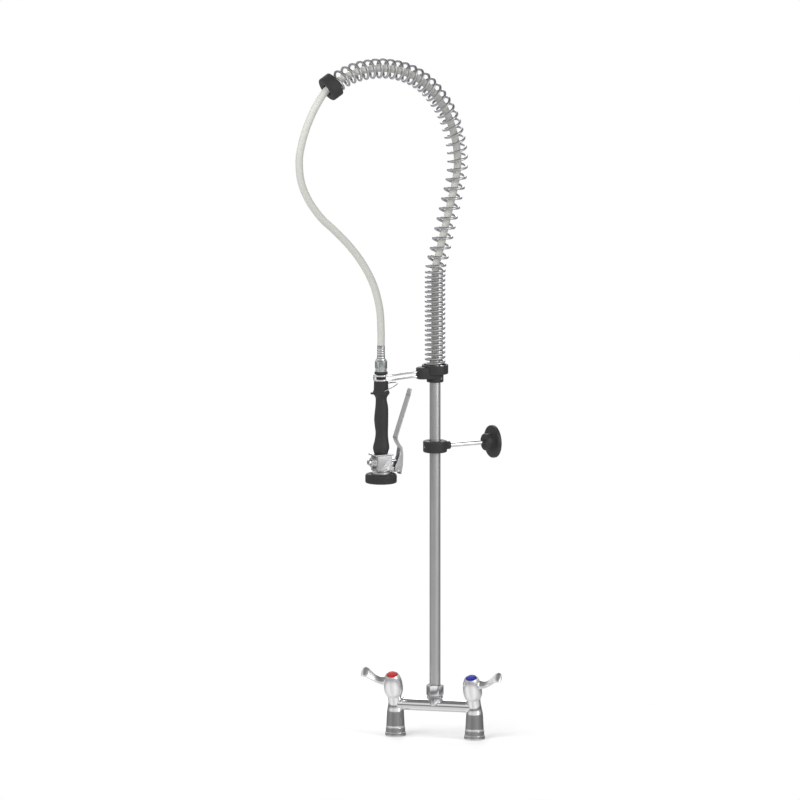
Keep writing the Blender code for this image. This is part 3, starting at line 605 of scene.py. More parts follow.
def carve(obj: bpy.types.Object, other: bmesh.types.BMesh, operation: str = "DIFFERENCE") -> None:
    """Cuts or joins a mesh with a piece, at once.

    The manifold solver is used because the exact one leaves gaps where two round bores cross.

    Args:
        obj: The piece that changes.
        other: The mesh that cuts it or joins it, which is freed.
        operation: DIFFERENCE, UNION or INTERSECT.
    """
    tool = object_of("tool", other)
    modifier = obj.modifiers.new("carve", "BOOLEAN")
    modifier.solver = "MANIFOLD"
    modifier.operation = operation
    modifier.object = tool
    plain(obj)
    bpy.data.objects.remove(tool)


def taken_back(obj: bpy.types.Object) -> bmesh.types.BMesh:
    """Takes a helper object's mesh back in millimetres and removes the object.

    Args:
        obj: The helper.

    Returns:
        Its mesh.
    """
    bm = bmesh.new()
    bm.from_mesh(obj.data)
    bmesh.ops.scale(bm, vec=(1 / MM,) * 3, verts=bm.verts)
    bpy.data.objects.remove(obj)
    return bm


def soften(obj: bpy.types.Object, width: float, segments: int = 2, angle: float = 32) -> None:
    """Rounds the sharp edges of a piece.

    Args:
        obj: The piece.
        width: The rounding in millimetres.
        segments: Segments across it.
        angle: Edges sharper than this many degrees are rounded.
    """
    modifier = obj.modifiers.new("edges", "BEVEL")
    modifier.limit_method = "ANGLE"
    modifier.angle_limit = math.radians(angle)
    modifier.width = width * MM
    modifier.segments = segments
    modifier.use_clamp_overlap = True
    modifier.harden_normals = True
    plain(obj)


def dress(obj: bpy.types.Object, finish: Finish, body: Body,
          stands_for: Sequence[str] = ()) -> bpy.types.Object:
    """Gives a finished piece its material, shading, body and CAD nodes.

    Args:
        obj: The piece, at the origin.
        finish: Its finish.
        body: The body that it rides on.
        stands_for: The CAD nodes that it replaces.

    Returns:
        The piece.
    """
    obj.data.materials.clear()
    obj.data.materials.append(finish.material())
    obj.data.shade_smooth()
    obj.data.set_sharp_from_angle(angle=SMOOTH_ANGLE)
    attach(obj, body.value)
    if stands_for:
        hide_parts(*stands_for)
    LOG.info("%s: %d faces on %s", obj.name, len(obj.data.polygons), body.value)
    return obj


# ---------------------------------------------------------------- the tap


@dataclass
class Pillar:
    """One pillar: its flange, valve, lever and index disc."""

    side: Side
    name: str
    index: Finish
    centres: float = 150.0
    knee_z: float = 58.0
    flange_d: float = 38.0
    flange_h: float = 6.5
    sleeve_d: float = 35.4
    sleeve_top: float = 15.5
    foot_d: float = 31.4
    body_d: float = 34.0
    body_top_d: float = 31.0
    body_top: float = 45.0
    neck_d: float = 24.6
    neck_end: float = 31.0
    socket_d: float = 25.4
    socket_reach: float = 14.5
    bridge_d: float = 22.0
    bridge_z: float = 59.0
    hub_from: float = 21.0
    hub_to: float = 64.0
    disc_d: float = 19.5
    paddle: list[tuple[float, float, float, float]] = field(default_factory=lambda: [
        (13.4, 50, 19, 8), (20, 50, 16.4, 6.4), (27, 51.4, 14.4, 5.2), (34, 55, 14.4, 4.6),
        (41, 61, 17, 4.2), (46, 65.4, 19.6, 3.8), (51, 67.4, 20.6, 3.6), (55, 66.4, 18, 3.4),
        (57, 65, 12.5, 2.2)])

    @property
    def x(self) -> float:
        """The pillar's place along X."""
        return self.side.value * self.centres / 2

    @property
    def handle(self) -> Body:
        """The body that this pillar's lever rides on."""
        return Body.HOT_HANDLE if self.side is Side.HOT else Body.COLD_HANDLE

    def head_point(self, along: float) -> Vector:
        """Returns a point of the leaning head axis, at a length along it from the knee."""
        return Vector((self.x, 0, self.knee_z)) + LEAN * along

    def leaning_ring(self, y: float, z: float, lean: float, radius: float) -> list[Vector]:
        """Makes one ring of the body, tilted towards the user.

        Args:
            y: Its middle's place along Y.
            z: Its middle's height.
            lean: Its tilt.
            radius: Its radius.

        Returns:
            The ring's points.
        """
        slope = Vector((0, math.cos(lean), math.sin(lean)))
        turns = (k * math.tau / FINE for k in range(FINE))
        centre = Vector((self.x, y, z))
        return [centre + radius * (SIDEWAYS * math.cos(a) + slope * math.sin(a)) for a in turns]

    def flange(self) -> None:
        """Builds the deck flange with its sleeve."""
        bore = self.foot_d / 2 + GAP
        outline = rounded([(self.flange_d / 2, 0), (self.flange_d / 2, self.flange_h),
                           (self.sleeve_d / 2, self.flange_h), (self.sleeve_d / 2, self.sleeve_top),
                           (bore, self.sleeve_top), (bore, 0)], 1.0)
        obj = object_of(f"{self.name}_flange_shell", lathe_mesh(outline, Vector((self.x, 0, 0)),
                                                                segments=96))
        dress(obj, CHROME, Body.ROOT, [f"{self.name}_base_flange"])

    def body(self) -> None:
        """Builds the pillar body: a round foot, the leaning neck and the bridge socket."""
        foot, top = self.body_d / 2, self.body_top_d / 2
        ledge = self.sleeve_top + GAP
        rings = [self.leaning_ring(0, 2.5, 0, self.foot_d / 2),
                 self.leaning_ring(0, ledge, 0, self.foot_d / 2),
                 self.leaning_ring(0, ledge, 0, foot - 0.8),
                 self.leaning_ring(0, ledge + 0.25, 0, foot - 0.25),
                 self.leaning_ring(0, ledge + 0.8, 0, foot)]
        for step in range(1, 7):
            t = step / 6
            rings.append(self.leaning_ring(0, ledge + (self.body_top - ledge) * t, 0,
                                           foot + (top - foot) * t))
        knee = Vector((0, 0, self.body_top))
        middle = Vector((0, 0, self.knee_z - 1))
        knee_end = self.head_point(8) - Vector((self.x, 0, 0))
        steps = 20
        for step in range(1, steps + 1):
            t = step / steps
            at = knee * (1 - t) ** 2 + middle * (2 * t * (1 - t)) + knee_end * t * t
            radius = top + (self.neck_d / 2 - top) * math.sin(t * math.pi / 2) ** 1.3
            rings.append(self.leaning_ring(at.y, at.z, HEAD_LEAN * t, radius))
        end = self.head_point(self.neck_end)
        rings.append(self.leaning_ring(end.y, end.z, HEAD_LEAN, self.neck_d / 2))
        obj = object_of(f"{self.name}_pillar_shell", loft_mesh(rings))
        sign = self.side.value
        mouth = Vector((self.x - sign * self.socket_reach, 0, self.bridge_z))
        axis = Vector((self.x, 0, self.bridge_z))
        carve(obj, rod_mesh(self.socket_d / 2, mouth, axis, 1.0), "UNION")
        carve(obj, rod_mesh(self.bridge_d / 2 + GAP, mouth - SIDEWAYS * sign,
                            mouth + SIDEWAYS * (sign * 5.8)))
        carve(obj, rod_mesh(8, Vector((self.x, 0, 1)), Vector((self.x, 0, 40))))
        dress(obj, CHROME, Body.ROOT, [f"{self.name}_pillar_body"])

    def lever(self) -> None:
        """Builds the bulb-shaped hub with its paddle."""
        base = self.head_point(0)
        skirt = self.neck_d / 2 + 2 * GAP
        seat = self.hub_to - 2.6
        curve = [(skirt + 1.2, self.hub_from), (15.2, 24), (16.7, 29), (17.25, 37), (16.8, 46),
                 (15.4, 54),
                 (13.2, 60.5), (self.disc_d / 2 + 1.6, self.hub_to)]
        rim = self.disc_d / 2 + GAP
        outer = [tuple(p) for p in smooth_path([Vector(p) for p in curve], 40)]
        outline = [*outer, (rim + 0.5, self.hub_to + 0.35), (rim, self.hub_to), (rim, seat),
                   (6, seat),
                   (6, 52), (2.3, 52), (2.3, 45.3), (4.3, 45.3), (4.3, 34), (skirt, 34),
                   (skirt, self.hub_from)]
        obj = object_of(f"{self.name}_lever_shell", lathe_mesh(outline, base, LEAN, 96))
        carve(obj, self.paddle_mesh(), "UNION")
        # The whole lever, bulb and paddle, takes this finish, whose lighter colour is painted
        # sheen.
        dress(obj, PADDLE, self.handle, [f"{self.name}_lever"])

    def paddle_mesh(self) -> bmesh.types.BMesh:
        """Lofts the thin, waisted stem and its spoon-like end.

        Returns:
            The mesh, in millimetres.
        """
        across = Vector((0, math.cos(PADDLE_TILT), math.sin(PADDLE_TILT)))
        outward = SIDEWAYS * self.side.value
        route = smooth_path([Vector(p) for p in self.paddle], 44)
        centres = [self.head_point(p[1]) + outward * p[0] for p in route]
        sections = []
        for k, (centre, (_, _, width, thick)) in enumerate(zip(centres, route)):
            run = (centres[min(k + 1, len(route) - 1)] - centres[max(k - 1, 0)]).normalized()
            flat = run.cross(across)
            sections.append([centre + across * (width / 2 * self.squared(math.cos(a)))
                             + flat * (thick / 2 * self.squared(math.sin(a)))
                             for a in (n * math.tau / 40 for n in range(40))])
        last, run = sections[-1], (centres[-1] - centres[-2]).normalized()
        middle = sum(last, Vector()) / len(last)
        for share, push in ((0.8, 0.7), (0.5, 1.2), (0.2, 1.45)):
            sections.append([middle + (p - middle) * share + run * push for p in last])
        return loft_mesh(sections)

    @staticmethod
    def squared(value: float) -> float:
        """Returns a cosine or sine pushed towards a rounded rectangle."""
        return math.copysign(abs(value) ** 0.8, value)

    def disc(self) -> None:
        """Builds the domed index disc."""
        seat = self.hub_to - 2.3
        radius = self.disc_d / 2
        outline = [(0, seat), (radius, seat), (radius, self.hub_to + 0.1),
                   (radius - 0.25, self.hub_to + 0.5),
                   (radius - 0.9, self.hub_to + 0.85), (radius * 0.6, self.hub_to + 1.25),
                   (radius * 0.3, self.hub_to + 1.45), (0, self.hub_to + 1.5)]
        obj = object_of(f"{self.name}_index_disc", lathe_mesh(outline, self.head_point(0), LEAN))
        dress(obj, self.index, self.handle, [f"{self.name}_index"])

    def build(self) -> None:
        """Builds every visible piece of the pillar."""
        self.flange()
        self.body()
        self.lever()
        self.disc()


@dataclass
class Bridge:
    """The mixing tube between the pillars, and the union that holds the riser."""

    centres: float = 150.0
    tube_d: float = 22.0
    bore: float = 17.0
    z: float = 59.0
    boss_d: float = 29.0
    boss_top: float = 77.0
    riser_d: float = 20.0
    riser_bore: float = 16.0
    riser_foot: float = 69.0
    riser_top: float = 700.0
    nut_flats: float = 27.5
    nut_top: float = 98.0

    def tube(self) -> None:
        """Builds the tube with its tee, saddled down onto it."""
        reach = self.centres / 2 - 9.0
        ends = Vector((-reach, 0, self.z)), Vector((reach, 0, self.z))
        obj = object_of("bridge_tube_shell", rod_mesh(self.tube_d / 2, *ends, segments=96))
        radius = self.boss_d / 2
        boss = object_of("boss", lathe_mesh(rod(radius, self.z - 2, self.boss_top, 0.8),
                                            segments=96))
        saddle = [(-3, self.z + 1), (3, self.z + 1), (radius + 1, 75.6),
                  (radius + 1, self.boss_top + 1),
                  (-radius - 1, self.boss_top + 1), (-radius - 1, 75.6)]
        carve(boss, loft_mesh([[Vector((x, y, z)) for x, z in saddle] for y in (-20, 20)]),
              "INTERSECT")
        soften(boss, 0.7, 3, 35)
        carve(obj, taken_back(boss), "UNION")
        carve(obj, rod_mesh(self.bore / 2, ends[0] - SIDEWAYS, ends[1] + SIDEWAYS))
        carve(obj, rod_mesh(self.riser_d / 2 + GAP, UP * 66, UP * (self.boss_top + 1)))
        dress(obj, CHROME, Body.ROOT, ["bridge_tube"])

    def nut(self) -> None:
        """Builds the hexagonal union nut with its turned chamfers."""
        low = self.boss_top + GAP
        corner = self.nut_flats / 2 / math.cos(math.pi / 6)
        flat = self.nut_flats / 2
        outline = [(flat - 0.4, low), (corner, low + 1.6), (corner, self.nut_top - 2.2),
                   (flat - 0.8, self.nut_top),
                   (self.riser_d / 2 + GAP, self.nut_top), (self.riser_d / 2 + GAP, low)]
        obj = object_of("riser_nut_shell", lathe_mesh(outline, segments=96))
        hexagon = lathe_mesh(rod(corner, 0, 200), segments=6)
        bmesh.ops.rotate(hexagon, matrix=Matrix.Rotation(math.radians(10), 3, "Z"),
                         verts=hexagon.verts)
        carve(obj, hexagon, "INTERSECT")
        soften(obj, 0.35, 2, 25)
        dress(obj, CHROME, Body.ROOT, ["riser_nut"])

    def riser(self) -> None:
        """Builds the upright pipe."""
        outline = tube(self.riser_d / 2, self.riser_bore / 2, self.riser_foot, self.riser_top, 0.4)
        dress(object_of("riser_shell", lathe_mesh(outline, segments=96)), RISER, Body.ROOT,
              ["riser_pipe"])

    def build(self) -> None:
        """Builds every visible piece of the bridge."""
        self.tube()
        self.nut()
        self.riser()


@dataclass
class WallStay:
    """The clamp on the riser, its rod and the wall flange."""

    z: float = 540.0
    clamp_d: float = 44.0
    clamp_h: float = 21.0
    bore: float = 10.3
    spigot_d: float = 14.5
    spigot_reach: float = 30.5
    rod_d: float = 8.0
    wall: float = 123.0
    flange_d: float = 60.0
    flange_h: float = 7.0
    hub_d: float = 32.0
    hub_h: float = 14.0

    def clamp(self) -> None:
        """Builds the split clamp with its spigot and screw."""
        at = UP * self.z
        outline = rounded([(self.clamp_d / 2, -self.clamp_h / 2),
                           (self.clamp_d / 2, self.clamp_h / 2),
                           (self.bore, self.clamp_h / 2), (self.bore, -self.clamp_h / 2)], 2.6, 5)
        obj = object_of("wall_clamp_shell", lathe_mesh(outline, at, segments=96))
        spigot = rounded([(0, 13.5), (10, 13.5), (10, 18), (self.spigot_d / 2, 24),
                          (self.spigot_d / 2, self.spigot_reach), (0, self.spigot_reach)], 1.3)
        carve(obj, lathe_mesh(spigot, at, OUT), "UNION")
        carve(obj, rod_mesh(self.rod_d / 2 + GAP, at + OUT * (self.spigot_reach - 8),
                            at + OUT * (self.spigot_reach + 1)))
        carve(obj, rod_mesh(2.3, at - OUT * (self.bore - 1), at - OUT * (self.clamp_d / 2 + 1)))
        dress(obj, BLACK, Body.STAY, ["wall_clamp"])
        end = self.clamp_d / 2 + 0.5
        socket_screw("clamp_screw_head", at, OUT, 2.0, -end, -end + 4, Body.STAY, ["clamp_screw"],
                     1.9, -self.bore)

    def rod(self) -> None:
        """Builds the rod from the clamp to the wall."""
        start = self.spigot_reach - 8 + GAP
        end = self.wall - self.flange_h - 2
        at = UP * self.z
        obj = object_of("wall_rod_shell", rod_mesh(self.rod_d / 2, at + OUT * start, at + OUT * end,
                                                   0.4))
        dress(obj, CHROME, Body.STAY, ["wall_rod"])

    def rose(self) -> None:
        """Builds the wall flange with its raised hub."""
        face = self.wall - self.flange_h
        hub_end = face - self.hub_h
        bore = self.rod_d / 2 + GAP
        plate = self.flange_d / 2 - 3 + GAP
        outline = rounded([(bore, hub_end), (self.hub_d / 2 - 0.6, hub_end), (self.hub_d / 2, face),
                           (self.flange_d / 2, face + 0.6), (self.flange_d / 2, self.wall),
                           (plate, self.wall),
                           (plate, self.wall - 3), (bore, self.wall - 3)], 1.5, 5)
        obj = object_of("wall_flange_shell", lathe_mesh(outline, UP * self.z, OUT, 96))
        grub = UP * self.z + OUT * (hub_end + 6)
        carve(obj, rod_mesh(2.3, grub - UP * (self.hub_d / 2 + 1), grub - UP * 2))
        dress(obj, BLACK, Body.ROSE, ["wall_flange"])

    def build(self) -> None:
        """Builds every visible piece of the stay."""
        self.clamp()
        self.rod()
        self.rose()


def socket_screw(name: str, at: Vector, axis: Vector, radius: float, low: float, high: float,
                 body: Body,
                 stands_for: Sequence[str], shank: float, shank_to: float) -> None:
    """Builds a socket-headed screw whose head starts at low along the axis.

    Args:
        name: The piece's name.
        at: The axis's origin.
        axis: The axis, from the head to the shank.
        radius: The head's radius.
        low: Where the head starts.
        high: Where the head ends and the shank starts.
        body: The body that it rides on.
        stands_for: The CAD nodes that it replaces.
        shank: The shank's radius.
        shank_to: Where the shank ends.
    """
    outline = rounded([(0, low), (radius, low), (radius, high), (shank, high), (shank, shank_to),
                       (0, shank_to)], 0.4)
    obj = object_of(name, lathe_mesh(outline, at, axis))
    depth = (high - low) * 0.6
    hexagon = lathe_mesh(rod(radius * 0.55, low - 1, low + depth), at, axis, 6)
    carve(obj, hexagon)
    dress(obj, STEEL, body, stands_for)


# ---------------------------------------------------------------- the head


def node_of(tree: bpy.types.NodeTree, kind: str, **settings: object) -> bpy.types.Node:
    """Adds a node and sets its options.

    Args:
        tree: The tree that it goes in.
        kind: The node's type.
        settings: Its options by name.

    Returns:
        The node.
    """
    node = tree.nodes.new(kind)
    for key, value in settings.items():
        setattr(node, key, value)
    return node


def geometry_tree(name: str, inputs: Sequence[tuple[str, str, object]]) -> tuple[bpy.types.NodeTree,
                                                                                 dict]:
    """Starts a Geometry Nodes tree.

    Args:
        name: The tree's name.
        inputs: Triples of an input's name, socket type and default.

    Returns:
        The tree, and each input's socket identifier by name.
    """
    tree = bpy.data.node_groups.new(name, "GeometryNodeTree")
    tree.interface.new_socket("Geometry", in_out="INPUT", socket_type="NodeSocketGeometry")
    tree.interface.new_socket("Geometry", in_out="OUTPUT", socket_type="NodeSocketGeometry")
    found = {}
    for label, kind, value in inputs:
        socket = tree.interface.new_socket(label, in_out="INPUT", socket_type=kind)
        if value is not None:
            socket.default_value = value
        found[label] = socket.identifier
    tree.nodes.new("NodeGroupInput").name = "in"
    tree.nodes.new("NodeGroupOutput").name = "out"
    return tree, found


def finish_tree(tree: bpy.types.NodeTree, geometry: bpy.types.NodeSocket) -> None:
    """Ends a Geometry Nodes tree in Realize Instances and Set Material.

    Args:
        tree: The tree, which has an input "Material".
        geometry: The socket that holds what was made.
    """
    real = node_of(tree, "GeometryNodeRealizeInstances")
    paint = node_of(tree, "GeometryNodeSetMaterial")
    tree.links.new(geometry, real.inputs["Geometry"])
    tree.links.new(real.outputs["Geometry"], paint.inputs["Geometry"])
    tree.links.new(tree.nodes["in"].outputs["Material"], paint.inputs["Material"])
    tree.links.new(paint.outputs["Geometry"], tree.nodes["out"].inputs["Geometry"])


def grow(obj: bpy.types.Object, tree: bpy.types.NodeTree, found: dict,
         values: dict) -> bpy.types.Object:
    """Runs a Geometry Nodes tree on an object and keeps its plain mesh.

    Args:
        obj: A mesh or curve object that the tree reads.
        tree: The tree.
        found: Each input's socket identifier by name.
        values: Each input's value by name.

    Returns:
        A mesh object of the same name.
    """
    modifier = obj.modifiers.new("grow", "NODES")
    modifier.node_group = tree
    for label, value in values.items():
        modifier[found[label]] = value
    if obj.type == "MESH":
        return plain(obj)
    bpy.context.view_layer.update()
    evaluated = obj.evaluated_get(bpy.context.evaluated_depsgraph_get())
    mesh = bpy.data.meshes.new_from_object(evaluated)
    name = obj.name
    bpy.data.objects.remove(obj)
    made = bpy.data.objects.new(name, mesh)
    bpy.context.scene.collection.objects.link(made)
    return made


def coil_tree() -> tuple[bpy.types.NodeTree, dict]:
    """Builds the tree that winds a round wire about a curve.

    The turns are tight at first, then open, and close up a little towards the far end.

    Returns:
        The tree, and each input's socket identifier by name.
    """
    tree, found = geometry_tree("coil_along_curve", (
        ("Wire Radius", "NodeSocketFloat", 0.002), ("Coil Radius", "NodeSocketFloat", 0.017),
        ("Tight Pitch", "NodeSocketFloat", 0.0089), ("Open Pitch", "NodeSocketFloat", 0.0166),
        ("Tight Length", "NodeSocketFloat", 0.17), ("Change Over", "NodeSocketFloat", 0.03),
        ("Far Pitch", "NodeSocketFloat", 0.0146), ("Far From", "NodeSocketFloat", 0.34),
        ("Far To", "NodeSocketFloat", 0.46),
        ("Steps", "NodeSocketInt", 2200), ("Sides", "NodeSocketInt", 12),
        ("Across", "NodeSocketVector", (0, 1, 0)), ("Material", "NodeSocketMaterial", None)))
    links, given = tree.links, tree.nodes["in"].outputs
    resample = node_of(tree, "GeometryNodeResampleCurve")
    links.new(given["Geometry"], resample.inputs["Curve"])
    links.new(given["Steps"], resample.inputs["Count"])
    along = node_of(tree, "GeometryNodeSplineParameter")
    whole = node_of(tree, "GeometryNodeSplineLength")
    pitch = node_of(tree, "ShaderNodeMapRange")
    links.new(along.outputs["Length"], pitch.inputs["Value"])
    links.new(given["Tight Length"], pitch.inputs["From Min"])
    links.new(math_node(tree, "ADD", given["Tight Length"], given["Change Over"]),
              pitch.inputs["From Max"])
    links.new(given["Tight Pitch"], pitch.inputs["To Min"])
    later = node_of(tree, "ShaderNodeMapRange")
    links.new(along.outputs["Length"], later.inputs["Value"])
    for name, socket in (("Far From", "From Min"), ("Far To", "From Max"), ("Open Pitch", "To Min"),
                         ("Far Pitch", "To Max")):
        links.new(given[name], later.inputs[socket])
    links.new(later.outputs["Result"], pitch.inputs["To Max"])
    step = math_node(tree, "DIVIDE", whole.outputs["Length"], given["Steps"])
    turn = math_node(tree, "DIVIDE", step, pitch.outputs["Result"])
    total = node_of(tree, "GeometryNodeAccumulateField", data_type="FLOAT", domain="POINT")
    links.new(turn, total.inputs[0])
    angle = math_node(tree, "MULTIPLY", total.outputs["Trailing"], math.tau)
    tangent = node_of(tree, "GeometryNodeInputTangent")
    side = node_of(tree, "ShaderNodeVectorMath", operation="CROSS_PRODUCT")
    links.new(tangent.outputs[0], side.inputs[0])
    links.new(given["Across"], side.inputs[1])
    offset = None
    for direction, wave in ((given["Across"], "COSINE"), (side.outputs[0], "SINE")):
        scaled = node_of(tree, "ShaderNodeVectorMath", operation="SCALE")
        links.new(direction, scaled.inputs[0])
        reach = math_node(tree, "MULTIPLY", math_node(tree, wave, angle, 0.0), given["Coil Radius"])
        links.new(reach, scaled.inputs["Scale"])
        if offset:
            both = node_of(tree, "ShaderNodeVectorMath", operation="ADD")
            links.new(offset, both.inputs[0])
            links.new(scaled.outputs[0], both.inputs[1])
            offset = both.outputs[0]
        else:
            offset = scaled.outputs[0]
    moved = node_of(tree, "GeometryNodeSetPosition")
    links.new(resample.outputs["Curve"], moved.inputs["Geometry"])
    links.new(offset, moved.inputs["Offset"])
    section = node_of(tree, "GeometryNodeCurvePrimitiveCircle")
    links.new(given["Sides"], section.inputs["Resolution"])
    links.new(given["Wire Radius"], section.inputs["Radius"])
    skin = node_of(tree, "GeometryNodeCurveToMesh")
    links.new(moved.outputs["Geometry"], skin.inputs["Curve"])
    links.new(section.outputs["Curve"], skin.inputs["Profile Curve"])
    skin.inputs["Fill Caps"].default_value = True
    finish_tree(tree, skin.outputs["Mesh"])
    return tree, found


def line_object(name: str, points: Sequence[Vector]) -> bpy.types.Object:
    """Makes a curve object of a row of points in millimetres."""
    curve = bpy.data.curves.new(name, "CURVE")
    curve.dimensions = "3D"
    spline = curve.splines.new("POLY")
    spline.points.add(len(points) - 1)
    for target, point in zip(spline.points, points):
        target.co = (*(point * MM), 1)
    obj = bpy.data.objects.new(name, curve)
    bpy.context.scene.collection.objects.link(obj)
    return obj


@dataclass
class Head:
    """The stop ring, the swivelling carrier with its hook, the guide spring and both hoses."""

    riser_d: float = 20.0
    ring_d: float = 31.0
    ring_bottom: float = 659.5
    ring_top: float = 674.0
    carrier_d: float = 48.4
    seat_z: float = 686.0
    cup_top: float = 691.5
    lobe_d: float = 24.0
    lobe_reach: float = 26.0
    hook_d: float = 4.0
    hook_z: float = 676.0
    hook_spacing: float = 8.3
    hook_radius: float = 12.5
    spring_d: float = 38.0
    wire_d: float = 4.8
    tight_pitch: float = 8.9
    arch_pitch: float = 18.6
    far_pitch: float = 14.6
    change_over: float = 30.0
    closing_from: float = 340.0
    closing_to: float = 460.0
    tight_top: float = 863.0
    hose_d: float = 13.6
    cap_d: float = 47.0
    cap_l: float = 20.0

    def stop_ring(self) -> None:
        """Builds the ring that the carrier turns on, and its screw."""
        pipe = self.riser_d / 2 + GAP
        outline = rounded([(self.ring_d / 2, self.ring_bottom), (self.ring_d / 2, self.ring_top),
                           (pipe, self.ring_top), (pipe, self.ring_bottom)], 1.8, 4)
        obj = object_of("stop_ring_shell", lathe_mesh(outline, segments=96))
        turn = math.radians(-25)
        towards = Vector((math.cos(turn), math.sin(turn), 0))
        screw = UP * 667
        carve(obj, rod_mesh(2.6, screw, screw + towards * (self.ring_d / 2 + 2)))
        dress(obj, BLACK, Body.ROOT, ["stop_ring"])
        outer = self.ring_d / 2 + 0.6
        socket_screw("stop_screw_head", screw, -towards, 2.3, -outer, -outer + 4, Body.ROOT,
                     ["stop_screw"],
                     2.2, -pipe)

    def carrier(self) -> None:
        """Builds the swivelling cup with the lobe that holds the hook."""
        bore = self.riser_d / 2 + 2.3
        low = self.ring_top + 1
        cup = self.spring_d / 2 + 1.3
        outline = rounded([(self.carrier_d / 2, low), (self.carrier_d / 2, self.cup_top),
                           (cup, self.cup_top),
                           (cup, self.seat_z), (bore, self.seat_z), (bore, low)], 1.2, 4)
        obj = object_of("head_carrier_shell", lathe_mesh(outline, segments=96))
        rings = [self.arm_ring(667, 2.4), self.arm_ring(667.4, 1.2), self.arm_ring(668.3, 0.4),
                 self.arm_ring(669.5, 0),
                 self.arm_ring(686, 0), self.arm_ring(687.3, 0.4), self.arm_ring(688.1, 1.2),
                 self.arm_ring(688.5, 2.4)]
        carve(obj, loft_mesh(rings), "UNION")
        carve(obj, rod_mesh(self.ring_d / 2 + 1, UP * 660, UP * low))
        carve(obj, rod_mesh(cup, UP * self.seat_z, UP * 700))
        carve(obj, rod_mesh(bore, UP * 660, UP * 700))
        tip = self.lobe_reach + self.lobe_d / 2
        for z in (self.hook_z + self.hook_spacing / 2, self.hook_z - self.hook_spacing / 2):
            carve(obj, rod_mesh(self.hook_d / 2 + GAP, in_plane(-tip + 7, z),
                                in_plane(-tip - 2, z)))
        dress(obj, BLACK, Body.HEAD, ["head_carrier"])

    def arm_ring(self, z: float, inset: float) -> list[Vector]:
        """Makes one level of the arm that reaches from the cup to the hook.

        Args:
            z: Its height.
            inset: How far it is drawn in.

        Returns:
            The level's points.
        """
        points = []
        for radius, reach, first in ((self.lobe_d / 2, self.lobe_reach, 105), (18, 6, -75)):
            for a in (math.radians(first + 150 * k / 24) for k in range(25)):
                points.append(OUT * ((radius - inset) * math.cos(a) - reach)
                              + ACROSS * ((radius - inset) * math.sin(a)) + UP * z)
        return points

    def hook(self) -> None:
        """Builds the doubled wire hook that the gun hangs in."""
        tip = self.lobe_reach + self.lobe_d / 2
        route: list[Vector] = []
        for z, back in ((self.hook_z + self.hook_spacing / 2, False),
                        (self.hook_z - self.hook_spacing / 2, True)):
            leg = [in_plane(-tip + 6, z), in_plane(-tip - 6, z), in_plane(-58, z) - ACROSS * 2,
                   in_plane(-76, z) - ACROSS * 6, in_plane(-92, z) - ACROSS * 10.5]
            for k in range(9):
                a = math.radians(-70 - k * 16)
                round_gun = OUT * math.cos(a) + ACROSS * math.sin(a)
                leg.append(GUN + UP * z + self.hook_radius * round_gun)
            route += reversed(leg) if back else leg
        obj = object_of("gun_hook_wire", tube_along(smooth_path(route, 260), self.hook_d / 2, 20))
        dress(obj, CHROME, Body.HEAD, ["gun_hook"])

    def spring(self) -> None:
        """Winds the guide spring along the arch."""
        foot = self.seat_z + 2.8 + self.wire_d / 2
        path = smooth_path([in_plane(*p) for p in [(0, foot), *ARCH]], 500)[:-1]
        tree, found = coil_tree()
        obj = grow(line_object("guide_spring_coil", path), tree, found, {
            "Wire Radius": self.wire_d / 2 * MM,
            "Coil Radius": (self.spring_d - self.wire_d) / 2 * MM,
            "Tight Pitch": self.tight_pitch * MM, "Open Pitch": self.arch_pitch * MM,
            "Far Pitch": self.far_pitch * MM, "Far From": self.closing_from * MM,
            "Far To": self.closing_to * MM,
            "Tight Length": (self.tight_top - foot) * MM, "Change Over": self.change_over * MM,
            "Steps": 2400, "Sides": 12,
            "Across": ACROSS, "Material": SPRING_WIRE.material()})
        dress(obj, SPRING_WIRE, Body.HEAD, ["guide_spring"])

    def inner_hose(self) -> None:
        """Builds the hose inside the guide spring."""
        points = smooth_path([in_plane(*p) for p in ARCH], 160)
        run = (points[-1] - points[-2]).normalized()
        skin = tube_along([*points, points[-1] + run * 4.5], self.hose_d / 2)
        dress(object_of("inner_hose_skin", skin), HOSE_SKIN, Body.HEAD, ["inner_hose"])

    def cap(self) -> None:
        """Builds the rubber cap on the spring's free end."""
        points = smooth_path([in_plane(*p) for p in ARCH], 34)
        run = (points[-1] - points[-2]).normalized()
        far, bore, skin = self.cap_l + 1, self.hose_d / 2 + 2.4, self.spring_d / 2 + 1.5
        outline = rounded([(self.cap_d / 2, 0), (self.cap_d / 2, far), (bore, far), (bore, 12),
                           (skin, 12),
                           (skin, 0)], 3.4, 6)
        obj = object_of("spring_cap_shell", lathe_mesh(outline, points[-1] - run * 5, run, 96))
        dress(obj, RUBBER, Body.HEAD, ["spring_cap"])

    def free_hose(self) -> None:
        """Builds the hose that hangs from the cap and rises to the gun."""
        points = smooth_path([in_plane(*p) for p in HOSE], 240)
        obj = object_of("free_hose_skin", tube_along(points, self.hose_d / 2))
        dress(obj, HOSE_SKIN, Body.HEAD, ["free_hose"])
        obj.parent = None
        del obj["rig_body"]
        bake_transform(obj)

    def build(self) -> None:
        """Builds every visible piece of the head."""
        self.stop_ring()
        self.carrier()
        self.hook()
        self.spring()
        self.inner_hose()
        self.cap()
        self.free_hose()


# ---------------------------------------------------------------- the gun


